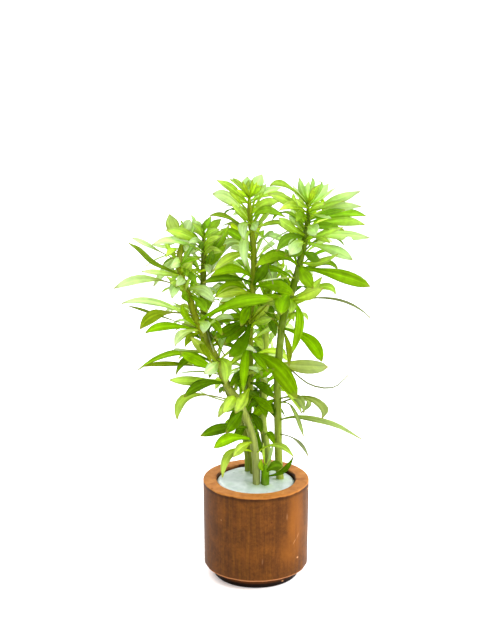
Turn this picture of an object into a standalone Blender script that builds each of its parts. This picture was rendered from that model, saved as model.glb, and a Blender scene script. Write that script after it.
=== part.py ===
"""Potted Ludwigia inclinata verticillata: a turned wooden pot, the gel that roots the plants,
and six leafy shoots.

Metres, +Z up. The origin is the centre of the pot's foot, where it rests. The photograph looks
along +Y, so a point that is nearer to the viewer has a smaller Y.
"""

import math
from collections import namedtuple

import bmesh
import bpy
from mathutils import Vector
from mathutils.bvhtree import BVHTree

for old in list(bpy.data.objects):
    bpy.data.objects.remove(old)

MM = 0.001

# The pot: a straight cup of stained wood with a thick flat rim and a recessed foot
POT_RADIUS = 33.0 * MM
POT_HEIGHT = 63.0 * MM
POT_TAPER = 0.6 * MM
RIM_WALL = 8.4 * MM
RIM_ROUND = 0.7 * MM
BODY_BOTTOM = 6.8 * MM
BODY_ROUND = 1.2 * MM
FOOT_RADIUS = 26.5 * MM
FOOT_CHAMFER = 0.8 * MM
FLOOR_TOP = 13.0 * MM
FLOOR_ROUND = 2.5 * MM
TURN_STEPS = 32

# Pieces that touch on the real plant keep this gap
GAP = 0.3 * MM

# The gel: fills the cup and swells to a low dome
GEL_EDGE = 1.6 * MM
GEL_RISE = 1.2 * MM
GEL_STEPS = 24
ROOT_DEPTH = 9.0 * MM

# The view that the pixel readings below are taken in: a long lens, looking slightly down
PHOTO_MIDDLE = (240.0, 320.0)
PHOTO_FOCUS = 2078.0
VIEW_PITCH = math.radians(17.78)
EYE = Vector((-10.0, -1204.0, 552.6)) * MM
PIXEL = 0.625 * MM

# Leaves: a blade with a keel below; shares of its length, with the width there as a share
LEAF_SHAPE = ((0.0, 0.18), (0.15, 0.24), (0.28, 0.52), (0.42, 0.85), (0.55, 1.0), (0.70, 0.93),
              (0.85, 0.62), (0.95, 0.28), (1.0, 0.08))
STALK_WIDTH = 1.1 * MM
TIP_WIDTH = 0.5 * MM
KEEL = 0.55 * MM
EDGE_LIFT = 0.05
LEAF_PROPORTION = 0.14
THREAD_WIDTH = 3.0
THREAD_LENGTH = 50.0
TIP_TAPER = 0.6
LEAF_RINGS = 5
OWN_PIECE_LENGTH = 39.0 * MM
SWAY_STEP = 1.5 * MM
SWAY_TRIES = 24

# A stem: its radius at the gel and at the tip, in mm, and its middle line from the gel up.
# Each point is a pixel (across, down) of the photograph and how many mm it is nearer than the axis.
Stem = namedtuple("Stem", "foot_radius tip_radius line")

STEMS = {
    "front": Stem(2.4, 1.5, [
        (256.5, 485, 10.0), (256.0, 462, 10.5), (253.0, 440, 11.0), (247.0, 421, 11.5),
        (239.0, 403, 12.0), (226.0, 383, 12.0), (217.0, 360, 11.5), (206.0, 341, 11.0),
        (197.0, 322, 10.5), (190.0, 300, 9.5), (182.0, 278, 8.5), (179.0, 262, 8.0),
        (181.0, 247, 7.5), (183.5, 236, 7.5)]),
    "left": Stem(2.2, 1.4, [
        (254.0, 475, -7.0), (250.0, 450, -7.0), (240.0, 420, -7.0), (226.0, 385, -7.0),
        (212.0, 350, -6.5), (204.5, 320, -6.0), (203.0, 300, -5.5), (203.5, 270, -5.0),
        (204.0, 250, -4.5), (203.5, 226, -4.0)]),
    "centre": Stem(2.3, 1.3, [
        (248.5, 472, -11.5), (248.0, 455, -11.5), (246.0, 436, -11.5), (249.0, 400, -11.0),
        (250.0, 366, -10.0), (249.6, 331, -9.0), (251.6, 303, -8.5), (253.7, 272, -8.0),
        (253.5, 250, -7.5), (251.6, 231, -7.0), (249.6, 208, -6.5), (249.2, 190, -6.0)]),
    "right": Stem(2.4, 1.4, [
        (280.0, 478, -0.5), (278.5, 455, 0.0), (278.0, 420, 0.5), (277.5, 385, 1.0),
        (280.0, 345, 1.5), (284.0, 316, 2.0), (293.0, 288, 2.5), (300.0, 262, 3.0),
        (304.7, 241, 3.5), (307.7, 221, 4.0), (308.2, 198, 4.0)]),
    "back": Stem(2.1, 1.2, [
        (267.0, 470, -15.0), (267.5, 455, -15.5), (265.0, 438, -16.5), (262.7, 418, -17.5),
        (264.0, 371, -19.0), (265.4, 346, -20.0), (266.0, 325, -21.0), (268.0, 300, -22.0),
        (271.0, 280, -22.0)]),
    "sprout": Stem(2.7, 2.4, [
        (265.0, 485, 10.0), (265.2, 477, 10.0), (265.5, 465, 10.0)]),
}

# A leaf: the pixel row where it leaves its stem, the pixels of its bend and tip, the width seen, in
# pixels, and its true length in mm. What the photograph doesn't show of that length runs in
# depth: towards the viewer, or away from the viewer where the length is negative.
Leaf = namedtuple("Leaf", "row bend tip wide long")

LEAVES = {
    "front": [
        Leaf(238, (174, 228), (169.5, 214), 11, -26), Leaf(238, (187, 228), (189.5, 219.5), 9, -24),
        Leaf(253, (166, 248), (152, 244.5), 3, -30), Leaf(241, (173, 243), (161, 246), 4, -30),
        Leaf(262, (152, 247.5), (132, 238), 4.5, 36), Leaf(277, (150, 262), (128.5, 243), 5.5, 38),
        Leaf(276, (160, 273), (141.5, 271.5), 5, 32), Leaf(291, (150, 279), (113.8, 288.5), 7.5, 48),
        Leaf(286, (175, 287), (172, 298.6), 9, 30), Leaf(300, (179, 286), (167, 277), 6, 30),
        Leaf(290, (203, 290), (214.5, 302), 9.5, 34), Leaf(303, (185, 297), (184, 289), 6, 22),
        Leaf(325, (160, 303.5), (121.4, 303.5), 5.5, 52), Leaf(330, (160, 316), (128.5, 306), 2.5, 46),
        Leaf(316, (160, 313.5), (140, 329), 10, 42),
        Leaf(328, (186, 316), (182, 304), 6, 30), Leaf(331, (168, 326), (145.5, 333), 7, 40),
        Leaf(330, (182, 334), (175, 346), 7.5, 34), Leaf(333, (190, 337), (185, 347), 6, 30),
        Leaf(322, (205, 325), (203.5, 333), 9, 30), Leaf(364, (204, 350), (191, 337), 8, 30),
        Leaf(370, (180, 353), (137.5, 370.5), 5.5, 54), Leaf(373, (200, 362), (180, 352), 9, 36),
        Leaf(372, (180, 364.5), (144, 366.5), 4.5, 50), Leaf(366, (192, 358), (176, 374), 5.5, 40),
        Leaf(380, (195, 381), (169.5, 380), 8, 42),
        Leaf(384, (202, 384), (184, 397), 8.5, 40), Leaf(404, (192, 395.5), (177, 419.5), 7.5, 48),
        Leaf(362, (213, 367), (204, 373.5), 10, 34),
        Leaf(360, (226, 364), (225.5, 384), 9.5, 36), Leaf(397, (231, 401), (223, 413), 10, 34),
        Leaf(428, (224, 428), (200.5, 436), 9, 42), Leaf(410, (236, 420), (226, 433), 10, 36),
        Leaf(440, (230, 436), (214, 448), 9, 38), Leaf(442, (242, 447), (233, 457), 8, 32),
        Leaf(453, (231, 453), (222.5, 477.5), 7, 40), Leaf(455, (275, 445), (293.5, 456.5), 4, 38),
        Leaf(337, (203, 346), (212, 363), 6, 34), Leaf(262, (186, 269), (186, 277), 5.5, 24),
        Leaf(322, (236, 303), (273, 299.6), 10, 54)],
    "left": [
        Leaf(240, (192, 230), (174, 227), 3, -34), Leaf(246, (186, 235), (166, 230), 9.5, 39),
        Leaf(254, (190, 241.5), (164, 237.5), 3, 36), Leaf(232, (199, 226), (194.5, 220.5), 6, 20),
        Leaf(232, (206, 225), (211, 216.5), 6, 20), Leaf(236, (212, 227), (221, 219), 7, -28),
        Leaf(252, (212, 241), (226, 229), 8, 30), Leaf(274, (214, 258), (226, 244.5), 8, 34),
        Leaf(250, (201, 246), (204.5, 241), 5, 20), Leaf(248, (196, 250), (187, 254), 5, -30),
        Leaf(265, (195, 256), (185, 243), 3, -34), Leaf(265, (208, 267), (209.5, 274), 6, 26),
        Leaf(264, (193, 273), (185.5, 291), 2.5, 34), Leaf(270, (186, 272), (163, 275.5), 7, 40),
        Leaf(294, (209, 300), (208.5, 310), 7, 30), Leaf(318, (214, 323), (222, 335), 7, 32),
        Leaf(254, (177, 241), (152, 245), 5, 39), Leaf(262, (217, 246), (229, 225), 7, 38),
        Leaf(258, (174, 263), (153.5, 286.5), 8, 42)],
    "centre": [
        Leaf(200, (239, 186), (229.5, 179.5), 2.5, 26), Leaf(199, (240, 184), (232.5, 178), 3.5, -26),
        Leaf(196, (247, 187), (247.5, 176.5), 9, -22), Leaf(196, (256, 185), (262, 174.5), 10, -26),
        Leaf(199, (253.5, 190), (257, 182.5), 3.5, 20), Leaf(205, (233, 189), (217, 180.5), 6.5, 32),
        Leaf(222, (231, 200), (212.5, 194), 10, -40),
        Leaf(202, (265, 192.5), (281, 187.5), 7, -34), Leaf(205, (270, 194.5), (289, 198), 4, 36),
        Leaf(217, (263, 204), (281, 201), 7.5, 34), Leaf(222, (264, 210), (285, 217), 7, 38),
        Leaf(224, (255, 225), (256, 230.5), 9, 26),
        Leaf(230, (244, 243), (245.5, 266), 8, 38), Leaf(224, (243, 226), (244, 240), 8, 32),
        Leaf(236, (230, 218.5), (210, 215.5), 3.5, 40), Leaf(238, (236, 225), (222, 226), 5, -38),
        Leaf(252, (237, 235.5), (221, 229.5), 7, 38), Leaf(254, (236, 245), (223, 247.5), 5, -36),
        Leaf(256, (233, 256), (213, 271.5), 7, 42), Leaf(280, (233, 268.5), (211, 276), 8.5, 44),
        Leaf(284, (228, 278), (203, 283), 6.5, 46), Leaf(294, (232, 284), (214.5, 297.5), 8, 42),
        Leaf(296, (236, 289), (224, 294), 6, -38), Leaf(292, (243, 295), (235, 301), 9, 30),
        Leaf(318, (232, 328), (214, 338), 9, 44), Leaf(288, (275, 285.5), (294, 295), 10, 44),
        Leaf(306, (264, 299), (281, 296), 7, 38), Leaf(320, (236, 317), (219, 322), 7, 38),
        Leaf(306, (246, 312), (241, 326), 9, 34), Leaf(322, (243, 342), (229, 357), 11, 42),
        Leaf(330, (238, 331), (224, 345), 9, 38), Leaf(345, (245, 360), (243, 392), 8, 42),
        Leaf(368, (240, 374), (229, 388), 6, 40), Leaf(340, (259, 341), (263, 350), 7, 30),
        Leaf(352, (257, 358), (268, 372), 6, 34), Leaf(354, (276, 366), (297, 398), 12.5, 50),
        Leaf(384, (262, 386), (275, 398.5), 8, 38), Leaf(388, (243, 399), (235.5, 413), 10, 40),
        Leaf(322, (260, 313), (269, 305), 8, 32), Leaf(325, (262, 321), (272, 318), 7, 32),
        Leaf(286, (260, 275), (268, 262), 9, 34), Leaf(322, (234, 328), (221, 334), 8, 38),
        Leaf(254, (229, 242), (211, 272), 8, 39), Leaf(295, (234, 291), (216, 297), 9, 39),
        Leaf(296, (266, 306), (273.5, 320), 8, 34)],
    "right": [
        Leaf(202, (302, 190), (299.5, 178), 6, 24), Leaf(200, (307.5, 191), (309, 181.5), 6, -20),
        Leaf(204, (313, 193), (320, 184.5), 6, 24), Leaf(206, (319, 195), (328.5, 184), 8, -30),
        Leaf(208, (324, 197), (335, 188), 2.5, 30), Leaf(214, (334, 201), (360, 191.5), 8, 40),
        Leaf(220, (335, 208.5), (361, 206.5), 7, 40), Leaf(224, (340, 214), (366, 216), 6, 42),
        Leaf(228, (338, 221), (365, 225), 8, 42), Leaf(236, (338, 235), (370, 238), 8, 44),
        Leaf(243, (333, 250), (352.5, 260), 9, 38), Leaf(268, (337, 274.5), (370, 286.5), 11, 50),
        Leaf(300, (322, 286.5), (335.5, 294.5), 6, 36), Leaf(266, (305, 276), (313, 288), 11, 32),
        Leaf(303, (335, 299), (370.5, 318), 2.6, 58), Leaf(243, (296, 245), (289.5, 255), 12, 32),
        Leaf(226, (313, 229), (315.5, 236), 11, 30), Leaf(238, (289, 238), (276.5, 251), 9, 38),
        Leaf(252, (311, 256), (320.5, 260.5), 8, 30), Leaf(222, (290, 203), (268, 194), 8, 42),
        Leaf(214, (292, 205), (279, 210.5), 7, 36),
        Leaf(232, (295, 220), (292, 208), 8, -32), Leaf(236, (284, 223), (258, 227.5), 3, 42),
        Leaf(206, (287, 186), (270, 185.5), 4, 40), Leaf(268, (278, 255), (255.5, 266.5), 10, 44),
        Leaf(300, (299.5, 318), (291, 355), 7.5, 44), Leaf(329, (309, 340), (322, 361.5), 11, 44),
        Leaf(363, (309, 367), (328, 367), 12, -44), Leaf(362, (317, 386.5), (348.5, 375), 1.6, 56),
        Leaf(404, (310, 397), (322, 418.5), 5, 46), Leaf(400, (297, 398), (304, 413), 6, 36),
        Leaf(402, (295, 411), (303.5, 436), 3, 38), Leaf(421, (316, 419), (362, 439.5), 5, 60),
        Leaf(434, (296, 440), (308, 456), 4, 36), Leaf(330, (288, 345), (289, 366), 5, 34),
        Leaf(292, (283, 301), (281, 314.5), 13, 36), Leaf(298, (292, 305), (290, 313), 7, 28),
        Leaf(398, (266, 405), (250, 419.5), 8, -26),
        Leaf(240, (322, 234), (343, 227.5), 5.5, 39), Leaf(262, (318, 263), (338, 254), 6, 38),
        Leaf(300, (306, 296), (323, 288), 8.5, 36), Leaf(308, (305, 296), (322, 277), 8, 36),
        Leaf(236, (289, 226), (279, 218), 8, 34)],
    "back": [
        Leaf(292, (272, 276), (276, 262), 8, 26), Leaf(292, (262, 278), (266, 260), 10, 30),
        Leaf(300, (283, 282), (286, 264), 4, -30), Leaf(330, (260, 318), (256, 304), 8, 30),
        Leaf(318, (272, 324), (276, 336), 7, 28), Leaf(322, (271, 311), (270, 301), 6, -24),
        Leaf(330, (271, 342), (274, 358), 3, -30), Leaf(352, (260, 360), (262, 376), 7, 32)],
    "sprout": [
        Leaf(473, (274, 466), (283, 467), 9, 18), Leaf(476, (283, 471), (293, 457), 5, 26),
        Leaf(467, (263.5, 455), (263.5, 443), 3, -16), Leaf(467, (270, 456), (273, 444), 3.5, -18),
        Leaf(472, (261, 467), (261.5, 459), 5, 12)],
}

# Leaves on the side that the photograph doesn't show: the row on the stem, the compass angle
# round the stem (90 is straight away from the viewer) and the length in mm
HIDDEN_LEAVES = {
    "front": [(262, 70, 30), (296, 110, 34), (296, 60, 34), (340, 80, 34), (340, 130, 36), (392, 60, 34)],
    "left": [(250, 120, 30), (250, 60, 32), (276, 90, 36), (276, 140, 36), (306, 110, 40), (306, 60, 38),
             (345, 120, 40), (345, 70, 38)],
    "centre": [(208, 90, 26), (226, 60, 32), (226, 125, 32), (252, 80, 36), (252, 135, 38),
               (284, 60, 38), (284, 115, 40), (330, 120, 38), (366, 100, 36)],
    "right": [(212, 100, 26), (230, 70, 32), (230, 130, 34), (256, 90, 38), (256, 40, 38),
              (290, 70, 40), (290, 120, 38), (336, 60, 38), (386, 80, 36)],
    "back": [(290, 60, 30), (290, 130, 30), (330, 50, 34), (330, 130, 34), (380, 90, 34)],
    "sprout": [],
}


def principled(name, rgb, roughness):
    """A plain material of its own for a part."""
    material = bpy.data.materials.new(name)
    material.use_nodes = True
    shader = material.node_tree.nodes["Principled BSDF"]
    shader.inputs["Base Color"].default_value = (*rgb, 1.0)
    shader.inputs["Roughness"].default_value = roughness
    shader.inputs["Metallic"].default_value = 0.0
    return material


def new_collection(name):
    """A collection linked to the scene."""
    collection = bpy.data.collections.new(name)
    bpy.context.scene.collection.children.link(collection)
    return collection


PARTS = new_collection("potted_ludwigia")
GUIDES = new_collection("guides")
WOOD = principled("stained_wood", (0.25, 0.10, 0.035), 0.6)
GEL = principled("rooting_gel", (0.72, 0.80, 0.76), 0.25)
LEAF_GREEN = (0.27, 0.45, 0.03)
STEM_GREEN = (0.20, 0.26, 0.04)


def add_object(name, mesh, material, collection=PARTS):
    """A mesh as a part, or as a hidden guide."""
    mesh.materials.clear()
    mesh.materials.append(material)
    thing = bpy.data.objects.new(name, mesh)
    collection.objects.link(thing)
    if collection is not PARTS:
        thing.hide_render = True
        thing.display_type = "WIRE"
    return thing


def turned(name, profile, steps, material):
    """A solid of revolution from (radius, height) points, run up the inside and down the outside."""
    mesh = bpy.data.meshes.new(name)
    points = [(radius, 0.0, height) for radius, height in profile]
    mesh.from_pydata(points, [(i, i + 1) for i in range(len(points) - 1)], [])
    thing = add_object(name, mesh, material)
    screw = thing.modifiers.new("turn", "SCREW")
    screw.steps = steps
    screw.render_steps = steps
    screw.use_merge_vertices = True
    screw.merge_threshold = 0.00005
    screw.use_smooth_shade = True
    return thing


def arc(centre, radius, start, end, steps):
    """Points (radius, height) on a rounded edge of a profile; the angles are in degrees."""
    points = []
    for i in range(steps + 1):
        angle = math.radians(start + (end - start) * i / steps)
        points.append((centre[0] + radius * math.cos(angle), centre[1] + radius * math.sin(angle)))
    return points


def build_pot():
    """The cup, its rim, its worn lower edge and its recessed foot, turned in one piece."""
    mouth = POT_RADIUS - RIM_WALL
    floor = mouth - POT_TAPER
    bottom = POT_RADIUS - POT_TAPER
    rim = POT_HEIGHT - RIM_ROUND
    profile = [(0.0, FLOOR_TOP)]
    profile += arc((floor - FLOOR_ROUND, FLOOR_TOP + FLOOR_ROUND), FLOOR_ROUND, 270, 360, 2)
    profile += arc((mouth + RIM_ROUND, rim), RIM_ROUND, 180, 90, 1)
    profile += arc((POT_RADIUS - RIM_ROUND, rim), RIM_ROUND, 90, 0, 1)
    profile += arc((bottom - BODY_ROUND, BODY_BOTTOM + BODY_ROUND), BODY_ROUND, 0, -90, 2)
    profile += [(FOOT_RADIUS, BODY_BOTTOM), (FOOT_RADIUS, FOOT_CHAMFER),
                (FOOT_RADIUS - FOOT_CHAMFER, 0.0), (0.0, 0.0)]
    return turned("pot", profile, TURN_STEPS, WOOD)


def gel_top(radius):
    """Height of the domed gel at a distance from the pot's axis."""
    share = radius / (POT_RADIUS - RIM_WALL)
    return POT_HEIGHT - GEL_EDGE + GEL_RISE * (1.0 - share * share)


def build_gel(cutters):
    """The gel, a turned plug that stays clear of the wood, with a socket for every stem."""
    edge = POT_RADIUS - RIM_WALL - 2.0 * GAP
    floor = edge - POT_TAPER
    profile = [(edge * share, gel_top(edge * share)) for share in (0.0, 0.4, 0.75, 1.0)]
    profile += [(floor, FLOOR_TOP + FLOOR_ROUND + GAP), (floor - FLOOR_ROUND, FLOOR_TOP + GAP),
                (0.0, FLOOR_TOP + GAP)]
    plug = turned("rooting_gel", profile, GEL_STEPS, GEL)
    cut = plug.modifiers.new("sockets", "BOOLEAN")
    cut.operation = "DIFFERENCE"
    cut.solver = "EXACT"
    cut.operand_type = "COLLECTION"
    cut.collection = cutters
    return plug


def seen(across, down, near):
    """The point seen at a pixel of the photograph, `near` metres in front of the pot's axis."""
    right = (across - PHOTO_MIDDLE[0]) / PHOTO_FOCUS
    rise = (PHOTO_MIDDLE[1] - down) / PHOTO_FOCUS
    level, dip = math.cos(VIEW_PITCH), math.sin(VIEW_PITCH)
    ray = Vector((right, level + rise * dip, rise * level - dip))
    return EYE + ray * ((-near - EYE.y) / ray.y)


def curve_point(points, place):
    """A point on the smooth (Catmull-Rom) curve through the points; place runs from 0 to 1."""
    spot = min(max(place, 0.0), 1.0) * (len(points) - 1)
    i = min(int(spot), len(points) - 2)
    f = spot - i
    b, c = points[i], points[i + 1]
    a = points[i - 1] if i else b - (c - b)
    d = points[i + 2] if i + 2 < len(points) else c + (c - b)
    return 0.5 * (2.0 * b + (c - a) * f + (2.0 * a - 5.0 * b + 4.0 * c - d) * f * f
                  + (3.0 * b - a - 3.0 * c + d) * f ** 3)


class Shoot:
    """A stem's middle line and thickness, and the leaves that belong to it."""

    def __init__(self, name):
        stem = STEMS[name]
        self.name = name
        self.rows = [down for _, down, _ in stem.line]
        self.points = [seen(across, down, near * MM) for across, down, near in stem.line]
        self.foot_radius = stem.foot_radius * MM
        self.tip_radius = stem.tip_radius * MM
        self.young = []

    def place_of_row(self, row):
        """How far up the stem, from 0 to 1, it crosses a pixel row."""
        for i in range(len(self.rows) - 1):
            if row >= self.rows[i + 1]:
                share = (self.rows[i] - row) / (self.rows[i] - self.rows[i + 1])
                return (i + max(share, 0.0)) / (len(self.rows) - 1)
        return 1.0

    def at(self, place):
        """The middle of the stem at a place from 0 to 1."""
        return curve_point(self.points, place)

    def radius(self, place):
        """The stem's radius at a place from 0 to 1; the last tenth narrows into the crown."""
        radius = self.foot_radius + (self.tip_radius - self.foot_radius) * place ** 1.5
        return radius * (1.0 - TIP_TAPER * max(place - 0.9, 0.0) / 0.1)

    def tube(self, name, extra, root_depth, sides):
        """The stem as a closed mesh, `extra` thicker, with its root pushed into the gel."""
        curve = bpy.data.curves.new(name, "CURVE")
        curve.dimensions = "3D"
        curve.bevel_depth = 1.0
        curve.bevel_resolution = sides // 2 - 2
        curve.use_fill_caps = True
        foot = self.at(0.0)
        steps = max(round(1.5 * (len(self.points) - 1)), 4)
        line = [(foot - Vector((0.0, 0.0, root_depth)), self.foot_radius * 0.9)]
        line += [(self.at(i / steps), self.radius(i / steps)) for i in range(steps + 1)]
        spline = curve.splines.new("POLY")
        spline.points.add(len(line) - 1)
        for point, (spot, radius) in zip(spline.points, line):
            point.co = (*spot, 1.0)
            point.radius = radius + extra
        guide = bpy.data.objects.new(name, curve)
        bpy.context.scene.collection.objects.link(guide)
        ready = guide.evaluated_get(bpy.context.evaluated_depsgraph_get())
        mesh = bpy.data.meshes.new_from_object(ready)
        bpy.data.objects.remove(guide)
        shape = bmesh.new()
        shape.from_mesh(mesh)
        bmesh.ops.remove_doubles(shape, verts=shape.verts, dist=0.00001)
        bmesh.ops.recalc_face_normals(shape, faces=shape.faces)
        shape.to_mesh(mesh)
        shape.free()
        return mesh


def leaf_width(share, full):
    """The blade's width at a share of the leaf's length, never thinner than a stalk and a tip."""
    least = STALK_WIDTH + (TIP_WIDTH - STALK_WIDTH) * share
    for (low, thin), (high, wide) in zip(LEAF_SHAPE, LEAF_SHAPE[1:]):
        if share <= high:
            return max(least, full * (thin + (wide - thin) * (share - low) / (high - low)))
    return least


class Blade:
    """A leaf: the three points that its middle line bends through, its facing and its width."""

    def __init__(self, foot, bend, tip, facing, width):
        self.foot = foot
        self.knee = 2.0 * bend - (foot + tip) / 2.0
        self.tip = tip
        self.facing = facing
        self.width = width

    def at(self, share):
        """A point of the middle line."""
        rest = 1.0 - share
        return self.foot * rest * rest + self.knee * 2.0 * share * rest + self.tip * share * share

    def heading(self, share):
        """The direction of the middle line."""
        rest = 1.0 - share
        return ((self.knee - self.foot) * rest + (self.tip - self.knee) * share).normalized()

    def leaving(self, shoot, place):
        """The share of the leaf's length at which it stands clear of its stem."""
        axis = (shoot.at(min(place + 0.02, 1.0)) - shoot.at(max(place - 0.02, 0.0))).normalized()
        for i in range(1, 60):
            share = i / 100.0
            out = self.at(share) - self.foot
            away = (out - axis * out.dot(axis)).length
            slant = abs(self.heading(share).dot(axis))
            if away > shoot.radius(place) + GAP + 0.8 * MM * slant:
                return share
        return 0.6

    def solid(self, name, start, spare):
        """The leaf as a closed three-sided form: two edges and a keel, `spare` thicker all round."""
        shape = bmesh.new()
        bmesh.ops.create_cone(shape, cap_ends=True, cap_tris=False, segments=3,
                              radius1=1.0, radius2=1.0, depth=1.0)
        long_edges = [edge for edge in shape.edges if abs(edge.verts[0].co.z - edge.verts[1].co.z) > 0.5]
        bmesh.ops.subdivide_edges(shape, edges=long_edges, cuts=LEAF_RINGS - 2)
        for vert in shape.verts:
            side, below, along = vert.co
            share = start + (1.0 - start) * (along + 0.5)
            heading = self.heading(share)
            under = -(self.facing - heading * self.facing.dot(heading)).normalized()
            across = under.cross(heading)
            width = leaf_width(share, self.width)
            middle = self.at(share) + heading * spare * 2.0 * along
            if below > 0.5:
                vert.co = middle + under * (KEEL + spare)
            else:
                lift = EDGE_LIFT * width + spare
                vert.co = middle + across * math.copysign(width / 2.0 + spare, side) - under * lift
        mesh = bpy.data.meshes.new(name)
        shape.to_mesh(mesh)
        shape.free()
        return mesh


def facing_of(foot, bend, tip, seen_width, width):
    """Which way a blade faces: turned from the viewer towards the sky until it looks that wide."""
    heading = (tip - foot).normalized()
    viewer = (EYE - bend).normalized()
    viewer = (viewer - heading * viewer.dot(heading)).normalized()
    sky = heading.cross(viewer)
    if sky.z < 0.0:
        sky = -sky
    turn = math.acos(min(seen_width / width, 1.0))
    return viewer * math.cos(turn) + sky * math.sin(turn)


def photographed_blade(shoot, leaf, sway):
    """A leaf from its pixel readings; `sway` moves its tip in depth, where the photograph is blind."""
    place = shoot.place_of_row(leaf.row)
    foot = shoot.at(place)
    near = -foot.y
    length = abs(leaf.long) * MM
    flat = [seen(*pixel, near) for pixel in (leaf.bend, leaf.tip)]
    shown = (flat[0] - foot).length + (flat[1] - flat[0]).length
    depth = math.sqrt(max(length * length - shown * shown, 0.0))
    depth = math.copysign(depth, leaf.long) + sway
    bend = seen(*leaf.bend, near + 0.5 * depth)
    tip = seen(*leaf.tip, near + depth)
    seen_width = leaf.wide * PIXEL
    thread = leaf.wide < THREAD_WIDTH and leaf.long > THREAD_LENGTH
    width = seen_width if thread else max(seen_width, LEAF_PROPORTION * length)
    return place, Blade(foot, bend, tip, facing_of(foot, bend, tip, seen_width, width), width)


def hidden_blade(shoot, row, compass, long, sway):
    """An arching leaf on the far side; `sway` turns it round the stem."""
    place = shoot.place_of_row(row)
    foot = shoot.at(place)
    length = long * MM
    angle = math.radians(compass) + sway / (10.0 * MM)
    out = Vector((math.cos(angle), math.sin(angle), 0.0))
    bend = foot + out * 0.5 * length + Vector((0.0, 0.0, 0.22 * length))
    tip = foot + out * 0.92 * length
    return place, Blade(foot, bend, tip, Vector((0.0, 0.0, 1.0)), LEAF_PROPORTION * length)


def box_of(mesh):
    """The lowest and highest corners of a mesh."""
    spots = [vert.co for vert in mesh.vertices]
    return [(min(s[i] for s in spots), max(s[i] for s in spots)) for i in range(3)]


def tree_of(mesh):
    """A search tree of a mesh's faces."""
    return BVHTree.FromPolygons([v.co for v in mesh.vertices], [p.vertices for p in mesh.polygons])


class Obstacles:
    """What is already placed, so that the next leaf can be kept clear of it."""

    def __init__(self):
        self.placed = []

    def add(self, owner, mesh):
        """Remember a placed mesh and the piece that it belongs to."""
        self.placed.append((owner, box_of(mesh), tree_of(mesh)))

    def clear(self, owner, mesh):
        """Whether a mesh meets nothing that belongs to another piece."""
        box, tree = box_of(mesh), tree_of(mesh)
        for other, other_box, other_tree in self.placed:
            if other == owner:
                continue
            if all(a[0] <= b[1] and b[0] <= a[1] for a, b in zip(box, other_box)):
                if tree.overlap(other_tree):
                    return False
        return True


def sways():
    """Small moves to try in turn: none, then ever larger ones to both sides."""
    yield 0.0
    for i in range(1, SWAY_TRIES + 1):
        yield i * SWAY_STEP
        yield -i * SWAY_STEP


def place_leaf(shoot, name, length, make_blade, obstacles):
    """Choose a leaf's sway so that it keeps clear of every other piece, and remember it."""
    own = length > OWN_PIECE_LENGTH
    owner = name if own else shoot.name
    for sway in sways():
        place, blade = make_blade(sway)
        start = blade.leaving(shoot, place) if own else 0.0
        if obstacles.clear(owner, blade.solid(name, start, GAP)):
            break
    else:
        print("no clear place for", name)
    mesh = blade.solid(name, start, 0.0)
    obstacles.add(owner, mesh)
    return own, mesh


def build_shoots():
    """Every stem with the short leaves that are one with it, and the long leaves beside it."""
    shoots = [Shoot(name) for name in STEMS]
    obstacles = Obstacles()
    for shoot in shoots:
        obstacles.add(shoot.name, shoot.tube("guide", GAP, ROOT_DEPTH, 8))
    for shoot in shoots:
        young = bpy.data.collections.new(shoot.name + "_young_leaves")
        GUIDES.children.link(young)
        stem_green = principled(shoot.name + "_stem", STEM_GREEN, 0.5)
        makers = [(abs(leaf.long) * MM, lambda sway, leaf=leaf: photographed_blade(shoot, leaf, sway))
                  for leaf in LEAVES[shoot.name]]
        makers += [(long * MM, lambda sway, row=row, compass=compass, long=long:
                    hidden_blade(shoot, row, compass, long, sway))
                   for row, compass, long in HIDDEN_LEAVES[shoot.name]]
        count = 0
        for number, (length, make_blade) in enumerate(makers):
            own, mesh = place_leaf(shoot, f"{shoot.name}_{number}", length, make_blade, obstacles)
            if own:
                count += 1
                leaf_name = f"{shoot.name}_leaf_{count:02d}"
                add_object(leaf_name, mesh, principled(leaf_name, LEAF_GREEN, 0.45))
            else:
                add_object(f"{shoot.name}_young_{number:02d}", mesh, stem_green, young)
        stem_name = shoot.name if shoot.name == "sprout" else shoot.name + "_stem"
        stem = add_object(stem_name, shoot.tube(stem_name, 0.0, ROOT_DEPTH, 8), stem_green)
        grow = stem.modifiers.new("young_leaves", "BOOLEAN")
        grow.operation = "UNION"
        grow.solver = "EXACT"
        grow.operand_type = "COLLECTION"
        grow.collection = young
    return shoots


def build():
    """The whole potted plant."""
    shoots = build_shoots()
    sockets = bpy.data.collections.new("sockets")
    GUIDES.children.link(sockets)
    for shoot in shoots:
        mesh = shoot.tube(shoot.name + "_socket", GAP, ROOT_DEPTH + GAP, 8)
        add_object(shoot.name + "_socket", mesh, GEL, sockets)
    build_pot()
    build_gel(sockets)


build()
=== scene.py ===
# %% [markdown]
# # A potted Ludwigia inclinata verticillata
# Five leafy shoots and one young sprout stand in a white rooting gel, in a small turned
# wooden pot. The plain solids of the plant come in as a frame, in metres. This lesson grows
# the fine stems, leaves, gel and pot around them and gives each its finish.

# %% Load the frame
import math
import random
from collections import namedtuple

import bmesh
import bpy
from mathutils import Matrix, Vector, noise
from mathutils.bvhtree import BVHTree


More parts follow.
